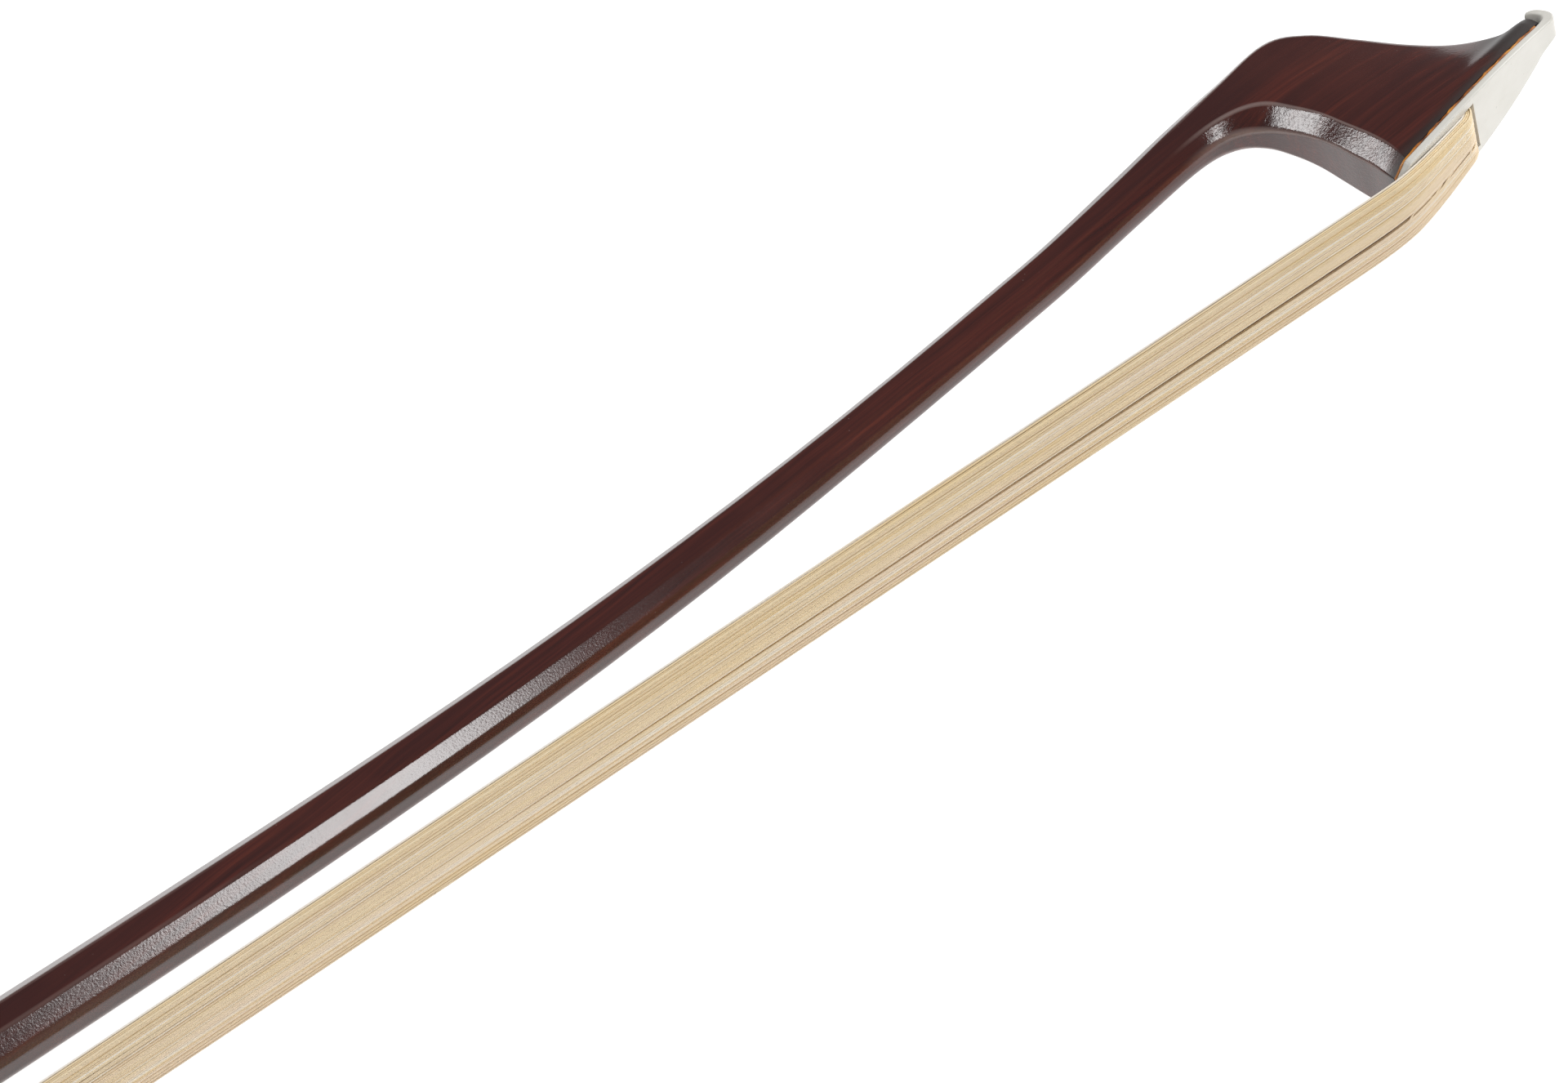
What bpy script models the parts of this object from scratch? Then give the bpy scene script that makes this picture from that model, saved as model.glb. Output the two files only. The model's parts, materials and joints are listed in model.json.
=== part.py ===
"""A violin bow, built as it comes apart on the bench.

The bow lies on its side. Its own frame has X along the handle, from the butt of the stick towards the
head, Y from the hair towards the stick's back, and Z up through the bow's side. The origin of that frame
is where the screw's axis leaves the butt of the stick. Lengths are in millimetres, turned into metres
when a mesh is made.
"""
import math

import bmesh
import bpy
from mathutils import Vector

MM = 0.001

# Driving dimensions, in millimetres
GAP = 0.3
STICK_FLATS_BUTT = 8.6
STICK_FLATS_TIP = 4.97
TAPER_END = 645.5
TAPER_LENGTH = 113.0
TAPER_SOFTNESS = 6.0
BEND_AT = 620.75
BEND_SOFTNESS = 24.0
BEND_RISE = 0.19
HEEL_X = 704.0
HEEL_Y = -6.43
HAIR_SLOPE = 0.0215
HAIR_WIDTH = 10.2
HAIR_WIDTH_FROG = 11.0
HAIR_THICKNESS = 0.95
PLATE_LENGTH = 25.5
PLATE_LEAN = 0.251
PLATE_BEND = 0.0047
PLATE_HALF_WIDTH = 5.2
PLATE_THICKNESS = 0.8
LINER_THICKNESS = 0.3
SCREW_RADIUS = 1.25
SCREW_HIDDEN_END = 46.0
BUTTON_FLATS = 8.8
BUTTON_END = -14.6
NIPPLE_RADIUS = 2.7
SLOT_START = 14.5
SLOT_END = 39.5
SLOT_HALF = 2.2
EYELET_X = 27.0
EYELET_HALF = 1.9
LINING_THICKNESS = 0.4
FROG_BACK = 11.0
FROG_FRONT = 50.0
FROG_TOP = -2.9
FROG_BOTTOM = -22.1
FROG_HALF_WIDTH = 6.7
THUMB_FRONT = 55.2
FERRULE_FRONT = 61.0
FERRULE_HALF = 6.9
FERRULE_SPRING = -18.2
FERRULE_RISE = 4.4
METAL = 0.6
SLIDE_START = 20.0
SLIDE_FACE = -22.3
EYE_X = 33.0
EYE_Y = -12.0
PIN_RADIUS = 0.45
GRIP_START = 65.0
GRIP_END = 91.0
WINDING_END = 166.0

FLAT_SHARE = math.tan(math.pi / 8)
HEAD_PEAK = (0.6, 26.05)
NOSE_TIP = (26.0, 9.0)

# Stations along the head, in the head's own frame: origin at the heel of the tip plate's face, X along
# the hair towards the nose, Y away from the hair. Each has the back's and the ridge's place, then half
# widths and places across for the back, the cheek's back edge, the cheek's front edge and the ridge, and
# how full the cheek is and how far the section sags towards the plate.
HEAD_STATIONS = (
    ((-21.2, 16.75), (-22.3, 21.7), 1.05, (0.29, 2.50), (0.71, 2.50), 1.05, 1.0, 0.0),
    ((-13.0, 18.1), (-14.2, 23.5), 1.15, (0.28, 2.55), (0.72, 2.50), 0.95, 1.0, 0.0),
    ((-9.0, 17.8), (-6.5, 24.95), 1.4, (0.24, 2.90), (0.76, 2.45), 0.80, 1.2, 0.0),
    ((-6.3, 16.1), HEAD_PEAK, 1.7, (0.20, 3.25), (0.82, 2.30), 0.60, 1.4, 0.0),
    ((-4.4, 13.6), (4.7, 24.0), 2.2, (0.17, 3.60), (0.86, 2.20), 0.55, 1.6, 0.0),
    ((-3.1, 11.2), (8.3, 20.1), 2.7, (0.16, 4.00), (0.88, 2.10), 0.55, 1.8, 0.1),
    ((-2.2, 8.7), (12.0, 15.9), 3.2, (0.14, 4.40), (0.89, 2.10), 0.60, 2.0, 0.2),
    ((-1.5, 6.2), (15.8, 12.5), 3.7, (0.13, 4.80), (0.90, 2.15), 0.75, 2.2, 0.3),
    ((-0.9, 4.2), (20.0, 10.7), 4.0, (0.11, 5.00), (0.91, 2.20), 1.00, 2.5, 0.4),
    ((-0.5, 2.9), (23.2, 10.3), 4.2, (0.08, 5.10), (0.92, 2.25), 1.40, 2.5, 0.5),
    ((-0.4, 1.8), (23.4, 9.3), 4.4, (0.05, 5.15), (0.93, 2.25), 1.45, 2.6, 0.35),
)
CHEEK_STEPS = 5


def clear_scene():
    """Take away whatever the scene holds."""
    for item in list(bpy.data.objects):
        bpy.data.objects.remove(item, do_unlink=True)


def material(name, colour, roughness, metallic=0.0):
    """A plain Principled finish."""
    made = bpy.data.materials.new(name)
    made.use_nodes = True
    shader = made.node_tree.nodes["Principled BSDF"]
    shader.inputs["Base Color"].default_value = (*colour, 1.0)
    shader.inputs["Roughness"].default_value = roughness
    shader.inputs["Metallic"].default_value = metallic
    return made


def empty(name, parent=None):
    """A carrier that other pieces are parented to."""
    made = bpy.data.objects.new(name, None)
    bpy.context.collection.objects.link(made)
    made.parent = parent
    return made


def mesh_object(name, points, faces, finish, parent):
    """One closed solid from points in millimetres."""
    mesh = bpy.data.meshes.new(name)
    mesh.from_pydata([Vector(point) * MM for point in points], [], faces)
    work = bmesh.new()
    work.from_mesh(mesh)
    bmesh.ops.recalc_face_normals(work, faces=work.faces)
    work.to_mesh(mesh)
    work.free()
    made = bpy.data.objects.new(name, mesh)
    bpy.context.collection.objects.link(made)
    made.parent = parent
    if finish:
        mesh.materials.append(finish)
    return made


def smooth(made, degrees=35):
    """Shade a round piece smooth, keeping its real edges."""
    made.data.shade_smooth()
    made.data.set_sharp_from_angle(angle=math.radians(degrees))
    return made


def loft(name, rings, finish, parent):
    """A solid through rings of equal count, closed by a flat face at each end."""
    count = len(rings[0])
    points = [point for ring in rings for point in ring]
    faces = [list(range(count)), list(range(len(points) - count, len(points)))]
    for row in range(len(rings) - 1):
        for step in range(count):
            here = row * count + step
            beside = row * count + (step + 1) % count
            faces.append([here, beside, beside + count, here + count])
    return mesh_object(name, points, faces, finish, parent)


def paired_loft(name, rings, finish, parent):
    """A solid through rings that run up one side and down the other, capped by strips across."""
    count = len(rings[0])
    points = [point for ring in rings for point in ring]
    faces = []
    for first in (0, len(points) - count):
        for step in range(count // 2 - 1):
            across = count - 1 - step
            faces.append([first + step, first + step + 1, first + across - 1, first + across])
    for row in range(len(rings) - 1):
        for step in range(count):
            here = row * count + step
            beside = row * count + (step + 1) % count
            faces.append([here, beside, beside + count, here + count])
    return mesh_object(name, points, faces, finish, parent)


def along_x(outline, low, high):
    """Two rings of a (z, y) outline at two places along X."""
    return [[(x, y, z) for z, y in outline] for x in (low, high)]


def along_z(outline, low, high):
    """Two rings of an (x, y) outline at two heights."""
    return [[(x, y, z) for x, y in outline] for z in (low, high)]


def circle(radius, count, centre=(0.0, 0.0)):
    """A round outline."""
    turns = [2 * math.pi * (step + 0.5) / count for step in range(count)]
    return [(centre[0] + radius * math.cos(turn), centre[1] + radius * math.sin(turn)) for turn in turns]


def octagon(flats):
    """An octagon with flats up, down and to the sides."""
    return circle(flats / 2 / math.cos(math.pi / 8), 8)


def box(name, low, high, finish, parent):
    """A rectangular block."""
    outline = [(low[0], low[1]), (high[0], low[1]), (high[0], high[1]), (low[0], high[1])]
    return loft(name, along_z(outline, low[2], high[2]), finish, parent)


def sleeve(name, outer, inner, span, finish, parent):
    """A ring along X between an outer and an inner (z, y) outline of equal count."""
    count = len(outer)
    low, high = span
    rings = [*along_x(outer, low, high), *along_x(inner, high, low)]
    points = [point for ring in rings for point in ring]
    faces = []
    for row in range(4):
        for step in range(count):
            beside = (step + 1) % count
            following = (row + 1) % 4
            faces.append([row * count + step, row * count + beside,
                          following * count + beside, following * count + step])
    return mesh_object(name, points, faces, finish, parent)


def cutter(made):
    """Mark a solid as a tool that only cuts."""
    made.hide_render = True
    made.display_type = "WIRE"
    return made


def combine(made, other, operation="DIFFERENCE"):
    """Cut, join or intersect a solid with another one, which stays as a hidden tool."""
    cutter(other)
    change = made.modifiers.new(other.name, "BOOLEAN")
    change.operation = operation
    change.solver = "EXACT"
    change.object = other
    return made


def head_to_bow(x, y, z=0.0):
    """A point of the head's frame in the bow's frame."""
    turn = math.atan(HAIR_SLOPE)
    return (HEEL_X + x * math.cos(turn) - y * math.sin(turn),
            HEEL_Y + x * math.sin(turn) + y * math.cos(turn), z)


def soft_ramp(distance, softness):
    """Zero before, a straight rise after, with a soft bend between."""
    if distance > 30 * softness:
        return distance
    return softness * math.log1p(math.exp(distance / softness))


def stick_centre(x):
    """Height of the stick's centre line above the handle's axis, which is its camber."""
    return BEND_RISE * soft_ramp(x - BEND_AT, BEND_SOFTNESS)


def stick_slope(x):
    """Slope of that centre line."""
    return BEND_RISE / (1 + math.exp(-(x - BEND_AT) / BEND_SOFTNESS))


def stick_flats(x):
    """Width of the stick across its flats."""
    back_from_end = soft_ramp(TAPER_END - x, TAPER_SOFTNESS)
    grown = 1 - math.exp(-back_from_end / TAPER_LENGTH)
    return STICK_FLATS_TIP + (STICK_FLATS_BUTT - STICK_FLATS_TIP) * grown


def stick_ring(x, flats):
    """A square section of the stick, as the loft's ring: up one side and down the other."""
    half = flats / 2
    corner = half * FLAT_SHARE
    side = [(corner, -half), (half, -corner)]
    side += [(half, corner * (2 * step / (CHEEK_STEPS + 1) - 1)) for step in range(1, CHEEK_STEPS + 1)]
    side += [(half, corner), (corner, half)]
    slope = stick_slope(x)
    run = math.hypot(1, slope)
    centre = stick_centre(x)
    right = [(x - up * slope / run, centre + up / run, across) for across, up in side]
    return right + [(px, py, -pz) for px, py, pz in reversed(right)]


def head_ring(station):
    """One section of the head, from its back to its ridge and down again."""
    back, ridge, back_half, heel_edge, front_edge, ridge_half, fullness, sag = station
    shares = [(0.0, back_half), heel_edge]
    for step in range(1, CHEEK_STEPS + 1):
        run = step / (CHEEK_STEPS + 1)
        share = heel_edge[0] + (front_edge[0] - heel_edge[0]) * run
        shares.append((share, heel_edge[1] + (front_edge[1] - heel_edge[1]) * run ** fullness))
    shares += [front_edge, (1.0, ridge_half)]
    right = []
    for share, half in shares:
        x = back[0] + (ridge[0] - back[0]) * share
        y = back[1] + (ridge[1] - back[1]) * share - 4 * sag * share * (1 - share)
        right.append(head_to_bow(x, y, half))
    return right + [(px, py, -pz) for px, py, pz in reversed(right)]


def plate_curve(distance, lift):
    """A point above the tip plate's face, at a distance from its heel along the face."""
    turn = PLATE_LEAN + PLATE_BEND * distance
    x = (math.sin(turn) - math.sin(PLATE_LEAN)) / PLATE_BEND
    y = (math.cos(PLATE_LEAN) - math.cos(turn)) / PLATE_BEND
    return x - lift * math.sin(turn), y + lift * math.cos(turn)


def plate_half_width(distance):
    """Half width of the tip plate at a distance from its heel."""
    share = distance / PLATE_LENGTH
    return PLATE_HALF_WIDTH - 3.75 * share ** 2.6


def plate_sheet(name, lifts, span, narrower, finish, parent):
    """A sheet that follows the plate's face, between two lifts above it."""
    low, high = lifts
    start, end = span
    rings = []
    steps = 9
    for step in range(steps + 1):
        distance = start + (end - start) * step / steps
        half = plate_half_width(distance) - narrower
        corners = ((low, half), (high, half), (high, -half), (low, -half))
        ring = []
        for lift, across in corners:
            x, y = plate_curve(distance, lift)
            ring.append(head_to_bow(x, y, across))
        rings.append(ring)
    return loft(name, rings, finish, parent)


def plate_block(name, span, lifts, half, finish, parent):
    """A block square to the tip plate, over a stretch of it and between two lifts."""
    start, end = span
    low, high = lifts
    corners = ((start, low), (end, low), (end, high), (start, high))
    ring = [head_to_bow(*plate_curve(distance, lift)) for distance, lift in corners]
    return loft(name, [[(x, y, z) for x, y, _ in ring] for z in (-half, half)], finish, parent)


def build_stick(bow, finish):
    """The stick and its head, with the screw's bore, the eyelet's slot and the head's mortise."""
    stations = [0, 60, 120, 180, 240, 300, 360, 420, 470, 510, 540, 565, 585, 603, 619, 634, 648, 661, 672]
    rings = [stick_ring(x, stick_flats(x)) for x in stations]
    rings += [head_ring(station) for station in HEAD_STATIONS]
    stick = paired_loft("stick", rings, finish, bow)
    combine(stick, loft("nipple_shape", along_x(circle(NIPPLE_RADIUS, 20), -2.2, 3.0), None, bow), "UNION")
    combine(stick, loft("screw_bore", along_x(circle(SCREW_RADIUS + GAP, 16), -4.0, 47.5), None, bow))
    combine(stick, box("eyelet_slot", (SLOT_START, -6.0, -SLOT_HALF), (SLOT_END, 2.4, SLOT_HALF), None, bow))
    return combine(stick, plate_block("head_mortise", (2.2, 11.9), (0.3, 5.6), 3.3, None, bow))


def build_head_fittings(bow, finishes):
    """The liner, the tip plate with its beak, the plug and the tied end of the hair."""
    liner_low = PLATE_THICKNESS + GAP
    liner = plate_sheet("head_plate_liner", (liner_low, liner_low + LINER_THICKNESS),
                        (0.2, PLATE_LENGTH - 1.4), 0.1, finishes["amber"], bow)
    combine(liner, plate_block("liner_opening", (1.9, 12.2), (-1.0, 4.0), 3.7, None, bow))
    plate = plate_sheet("tip_plate", (0.0, PLATE_THICKNESS), (0.0, PLATE_LENGTH), 0.0, finishes["ivory"], bow)
    outline = [plate_curve(PLATE_LENGTH - 0.6, 0.1), NOSE_TIP, (25.9, 10.0), (24.6, 12.3),
               (24.2, 12.0), (24.7, 9.9), plate_curve(PLATE_LENGTH - 0.9, PLATE_THICKNESS - 0.1)]
    placed = [head_to_bow(x, y) for x, y in outline]
    beak = loft("plate_beak", [[(x, y, z) for x, y, _ in placed] for z in (-1.25, 1.25)], None, bow)
    combine(plate, beak, "UNION")
    combine(plate, plate_block("plate_opening", (1.9, 12.2), (-1.0, 4.0), 3.7, None, bow))
    plate_block("head_plug", (2.5, 9.6), (0.4, 5.2), 3.0, finishes["plug"], bow)
    x, y, _ = head_to_bow(*plate_curve(10.9, 4.3))
    smooth(loft("head_hair_knot", along_z(circle(0.7, 10, (x, y)), -2.9, 2.9), finishes["thread"], bow))


def hair_ring(x, y, angle, half, thickness):
    """A section across the ribbon of hair, square to its run."""
    ring = []
    for side, depth in ((half, 0.0), (half, thickness), (-half, thickness), (-half, 0.0)):
        ring.append((x + math.sin(angle) * depth, y - math.cos(angle) * depth, side))
    return ring


def build_hair(bow, finish):
    """The ribbon of hair: out of the head's mortise, over the plate's heel, along the bow, into the frog."""
    lean = math.atan(HAIR_SLOPE)
    rings = []
    on_plate = ((10.4, 3.0, 90, 2.9), (10.3, 0.2, 65, 3.0), (9.8, -GAP, 0, 3.4), (5.0, -GAP, 0, 4.4),
                (1.2, -GAP, 0, 5.0))
    for distance, lift, turned, half in on_plate:
        x, y, _ = head_to_bow(*plate_curve(distance, lift))
        angle = lean + PLATE_LEAN + PLATE_BEND * distance + math.radians(turned)
        rings.append(hair_ring(x, y, angle, half, HAIR_THICKNESS))
    free_length = HEEL_X - FERRULE_FRONT
    for distance, drop, turned in ((0.9, GAP, 7), (4.0, 0, 0), (60.0, 0, 0), (300.0, 0, 0), (free_length, 0, 0)):
        x, y, _ = head_to_bow(-distance, -drop)
        half = (HAIR_WIDTH + (HAIR_WIDTH_FROG - HAIR_WIDTH) * distance / free_length) / 2
        rings.append(hair_ring(x, y, lean + math.radians(turned), half, HAIR_THICKNESS))
    in_frog = ((52.0, -19.6, 0, 5.0), (47.0, -19.4, 0, 4.2), (42.0, -19.3, 0, 3.6), (39.9, -18.7, -45, 3.5),
               (39.3, -16.8, -90, 3.5))
    for x, y, turned, half in in_frog:
        rings.append(hair_ring(x, y, math.radians(turned), half, HAIR_THICKNESS))
    return loft("hair_ribbon", rings, finish, bow)


def build_handle_wraps(bow, finishes):
    """The thumb leather and the wire winding, each a sleeve around the stick."""
    inner = octagon(STICK_FLATS_BUTT + 2 * GAP)
    grip = octagon(STICK_FLATS_BUTT + 2.4)
    winding = octagon(STICK_FLATS_BUTT + 1.6)
    sleeve("leather_grip", grip, inner, (GRIP_START, GRIP_END), finishes["leather"], bow)
    sleeve("wire_winding", winding, inner, (GRIP_END + GAP, WINDING_END), finishes["silver"], bow)


def frog_half_width(y):
    """Half width of the frog at a height: full at the slide, hollowed, and narrow at the stick."""
    share = min(max((y + 20.8) / 15.3, 0.0), 1.0)
    return FROG_HALF_WIDTH - 1.4 * math.sin(share * math.pi / 2) - 0.25 * math.sin(share * math.pi)


def frog_side_outline():
    """The frog seen from its side, with the thumb's hollow at the front and room for the heel plates."""
    throat = []
    for step in range(15):
        turn = math.radians(221.2 + (76.4 - 221.2) * step / 14)
        throat.append((53.2 + 4.25 * math.cos(turn), -11.2 + 4.25 * math.sin(turn)))
    return [(FROG_BACK, -21.4), (SLIDE_START - GAP, -21.4), (SLIDE_START - GAP, FROG_BOTTOM),
            (FROG_FRONT, FROG_BOTTOM), *throat, (THUMB_FRONT, -6.4), (THUMB_FRONT, FROG_TOP),
            (FROG_BACK, FROG_TOP)]


def frog_end_outline():
    """The frog seen from its end: hollowed cheeks, and the channel that fits the stick's three facets."""
    seat = STICK_FLATS_BUTT / 2 + 2 * GAP + LINING_THICKNESS
    heights = [FROG_BOTTOM - 1.0, -20.8, -17.7, -14.7, -11.6, -8.6, -5.5, FROG_TOP]
    wall = [(frog_half_width(y), y) for y in heights]
    wall += [(seat * math.sqrt(2) + FROG_TOP, FROG_TOP), (seat * FLAT_SHARE, -seat)]
    return wall + [(-z, y) for z, y in reversed(wall)]


def arch(half, spring, rise):
    """The arched top of the ferrule and of what sits in it, from side to side."""
    turns = [math.pi * step / 12 for step in range(13)]
    return [(half * math.cos(turn), spring + rise * math.sin(turn)) for turn in turns]


def ferrule_outline(inset):
    """The D-shaped ring's section: flat towards the hair, arched towards the stick."""
    half = FERRULE_HALF - inset
    low = FROG_BOTTOM + inset
    top = arch(half, FERRULE_SPRING, FERRULE_RISE - inset)
    return [(-half + 0.5, low), (half - 0.5, low), (half, low + 0.5), *top, (-half, low + 0.5)]


def pin_shape(name, start, end, radius, finish, parent):
    """A round pin between two points that lie along Y or along X."""
    count = 10
    rings = []
    for place in (start, end):
        if start[0] == end[0]:
            rings.append([(place[0] + u, place[1], place[2] + v) for u, v in circle(radius, count)])
        else:
            rings.append([(place[0], place[1] + u, place[2] + v) for u, v in circle(radius, count)])
    return loft(name, rings, finish, parent)


def build_frog_body(frog, finish):
    """The ebony frog, hollowed for the stick, the hair and the eyelet, with its tongue."""
    body = loft("frog_body", along_z(frog_side_outline(), -8, 8), finish, frog)
    combine(body, loft("frog_end_shape", along_x(frog_end_outline(), 9, 58), None, frog), "INTERSECT")
    tongue = arch(FERRULE_HALF - METAL - GAP, FERRULE_SPRING - 0.1, FERRULE_RISE - METAL - GAP)
    combine(body, loft("frog_tongue", along_x(tongue, 46.0, 60.0), None, frog), "UNION")
    combine(body, box("slide_groove", (SLIDE_START - GAP, -24, -5.2), (51, -20.5, 5.2), None, frog))
    combine(body, box("hair_channel", (38, -21, -4.7), (51, -19.0, 4.7), None, frog))
    combine(body, box("frog_mortise", (25.5, -21, -3.9), (41.0, -12.4, 3.9), None, frog))
    well = pin_shape("eyelet_well", (EYELET_X, -10.6, 0), (EYELET_X, -4, 0), 1.9, None, frog)
    combine(body, well)
    for side in (-1, 1):
        low, high = sorted((side * 4.4, side * 8))
        combine(body, loft("eye_recess", along_z(circle(3.6, 20, (EYE_X, EYE_Y)), low, high), None, frog))
    return body


def build_underslide(frog, finish):
    """The metal lining between frog and stick, folded to the stick's three lower facets."""
    near = STICK_FLATS_BUTT / 2 + GAP
    far = near + LINING_THICKNESS
    edge = 3.2
    right = [[(reach * FLAT_SHARE, -reach), (reach * math.sqrt(2) - edge, -edge)] for reach in (far, near)]
    outer, inner = right
    outline = [*outer, *reversed(inner)]
    outline += [(-z, y) for z, y in (*inner, *reversed(outer))]
    lining = loft("underslide", along_x(outline, FROG_BACK + 1, THUMB_FRONT - 0.5), finish, frog)
    low = (EYELET_X - EYELET_HALF - GAP, -6.5, -EYELET_HALF - GAP)
    high = (EYELET_X + EYELET_HALF + GAP, -3.0, EYELET_HALF + GAP)
    return combine(lining, box("underslide_hole", low, high, None, frog))


def build_eyelet(frog, finish):
    """The lug that the screw pulls: a block around the screw on a round stem in the frog."""
    low = (EYELET_X - EYELET_HALF, -5.0, -EYELET_HALF)
    eyelet = box("eyelet", low, (EYELET_X + EYELET_HALF, 2.0, EYELET_HALF), finish, frog)
    stem = pin_shape("eyelet_stem", (EYELET_X, -10.2, 0), (EYELET_X, -4.5, 0), 1.55, None, frog)
    combine(eyelet, stem, "UNION")
    thread = along_x(circle(SCREW_RADIUS + 0.06, 16), EYELET_X - 4, EYELET_X + 4)
    return combine(eyelet, loft("eyelet_thread", thread, None, frog))


def build_heel_plates(frog, finish):
    """The two plates that guard the frog's heel."""
    lower = box("heel_plate_lower", (10.1, SLIDE_FACE, -6.4), (SLIDE_START - 2 * GAP, -21.7, 6.4), finish, frog)
    heights = [-21.4, -18.0, -14.0, -10.0, -6.6]
    right = [(frog_half_width(y) - 0.1, y) for y in heights]
    outline = right + [(-z, y) for z, y in reversed(right)]
    upper = loft("heel_plate_upper", along_x(outline, 10.1, 10.7), finish, frog)
    return lower, upper


def pin_through(name, start, end, holed, finish, frog):
    """A pin and its clearance hole in every piece that it goes through."""
    pin_shape(name, start, end, PIN_RADIUS, finish, frog)
    hole = pin_shape(name + "_hole", start, end, PIN_RADIUS + GAP, None, frog)
    axis = 0 if start[0] != end[0] else 1
    for vertex in hole.data.vertices:
        outwards = 1.0 if vertex.co[axis] > (start[axis] + end[axis]) / 2 * MM else -1.0
        vertex.co[axis] += outwards * 2 * GAP * MM
    for piece in holed:
        combine(piece, hole)


def build_frog_pins(frog, body, lining, plates, finish):
    """The pins of the underslide and of the heel plates."""
    lower, upper = plates
    for name, x in (("underslide_pin_rear", 17.0), ("underslide_pin_front", 50.0)):
        pin_through(name, (x, -8.0, 0), (x, -4.7, 0), (body, lining), finish, frog)
    for name, z in (("heel_pin_lower_left", -3.6), ("heel_pin_lower_right", 3.6)):
        pin_through(name, (15.0, -22.3, z), (15.0, -19.2, z), (body, lower), finish, frog)
    for name, y in (("heel_pin_upper_low", -17.6), ("heel_pin_upper_high", -9.6)):
        pin_through(name, (10.1, y, 0), (13.4, y, 0), (body, upper), finish, frog)


def build_slide(frog, finishes):
    """The slide that covers the frog's mortise: a wooden tongue with a sheet of pearl."""
    end = FROG_FRONT
    box("slide_base", (SLIDE_START, -21.3, -4.9), (end, -20.8, 4.9), finishes["ebony"], frog)
    box("pearl_slide", (SLIDE_START, SLIDE_FACE, -4.9), (end, -21.6, 4.9), finishes["pearl"], frog)


def build_ferrule(frog, finishes):
    """The D-shaped ring and the wedge that spreads the hair in it."""
    span = (FROG_FRONT + GAP, FERRULE_FRONT)
    smooth(sleeve("ferrule", ferrule_outline(0), ferrule_outline(METAL), span, finishes["silver"], frog))
    side = [(50.5, -18.6), (50.5, -19.15), (60.6, -19.85), (60.6, -18.6)]
    loft("spread_wedge", along_z(side, -5.2, 5.2), finishes["plug"], frog)


def build_frog_inside(frog, finishes):
    """The plug and the tied end of the hair in the frog's mortise."""
    box("frog_plug", (25.9, -20.2, -3.6), (37.6, -13.0, 3.6), finishes["plug"], frog)
    knot = along_z(circle(1.0, 12, (39.3, -14.6)), -3.4, 3.4)
    smooth(loft("frog_hair_knot", knot, finishes["thread"], frog))


def build_eyes(frog, finishes):
    """A pearl eye in its ring on each cheek of the frog."""
    centre = (EYE_X, EYE_Y)
    for name, side in (("left", -1), ("right", 1)):
        low, high = sorted((side * 4.7, side * 5.4))
        outer = along_z(circle(3.3, 24, centre), low, high)
        ring = smooth(loft("eye_ring_" + name, outer, finishes["silver"], frog))
        hole = loft("eye_ring_hole", along_z(circle(2.7, 24, centre), low - 1, high + 1), None, frog)
        combine(ring, hole)
        smooth(loft("pearl_eye_" + name, along_z(circle(2.4, 24, centre), low, high), finishes["pearl"], frog))


def build_screw(carrier, finishes):
    """The screw with its button: a core between two metal rings, and a pearl eye in the end."""
    start = -9.0
    smooth(loft("screw", along_x(circle(SCREW_RADIUS, 16), start, SCREW_HIDDEN_END), finishes["steel"], carrier))
    front = loft("button_front_ring", along_x(octagon(BUTTON_FLATS), -3.6, -GAP), finishes["silver"], carrier)
    combine(front, loft("front_ring_hole", along_x(circle(NIPPLE_RADIUS + GAP, 20), -5, 2), None, carrier))
    core = loft("button_core", along_x(octagon(BUTTON_FLATS - 0.5), -10.9, -3.9), finishes["ebony"], carrier)
    combine(core, loft("core_spigot", along_x(circle(NIPPLE_RADIUS, 20), -13.2, -10), None, carrier), "UNION")
    combine(core, loft("core_bore", along_x(circle(SCREW_RADIUS + GAP, 16), start - GAP, -3), None, carrier))
    end = loft("button_end_ring", along_x(octagon(BUTTON_FLATS), BUTTON_END, -11.2), finishes["silver"], carrier)
    combine(end, loft("end_ring_hole", along_x(circle(NIPPLE_RADIUS + GAP, 20), -16, -10), None, carrier))
    eye = along_x(circle(NIPPLE_RADIUS, 20), BUTTON_END + 0.2, -13.5)
    smooth(loft("button_pearl_eye", eye, finishes["pearl"], carrier))


def make_finishes():
    """The bow's materials."""
    return {
        "wood": material("varnished_wood", (0.13, 0.035, 0.025), 0.3),
        "ebony": material("ebony", (0.02, 0.017, 0.016), 0.35),
        "ivory": material("plate_ivory", (0.86, 0.80, 0.70), 0.4),
        "amber": material("liner_amber", (0.65, 0.28, 0.05), 0.45),
        "hair": material("hair", (0.84, 0.70, 0.48), 0.5),
        "plug": material("plug_wood", (0.62, 0.44, 0.26), 0.7),
        "thread": material("knot_thread", (0.75, 0.68, 0.55), 0.8),
        "leather": material("grip_leather", (0.03, 0.022, 0.02), 0.6),
        "silver": material("silver", (0.80, 0.79, 0.76), 0.25, 1.0),
        "brass": material("brass", (0.78, 0.56, 0.25), 0.3, 1.0),
        "steel": material("steel", (0.55, 0.55, 0.56), 0.3, 1.0),
        "pearl": material("pearl", (0.82, 0.84, 0.83), 0.2),
    }


def lay_on_table(bow):
    """Move the bow so that the origin is under its middle, at the height of what it lies on."""
    nose = head_to_bow(*NOSE_TIP)[0]
    peak = head_to_bow(*HEAD_PEAK)[1]
    bow.location = Vector((-(BUTTON_END + nose) / 2, -(SLIDE_FACE + peak) / 2, FERRULE_HALF)) * MM


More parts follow.
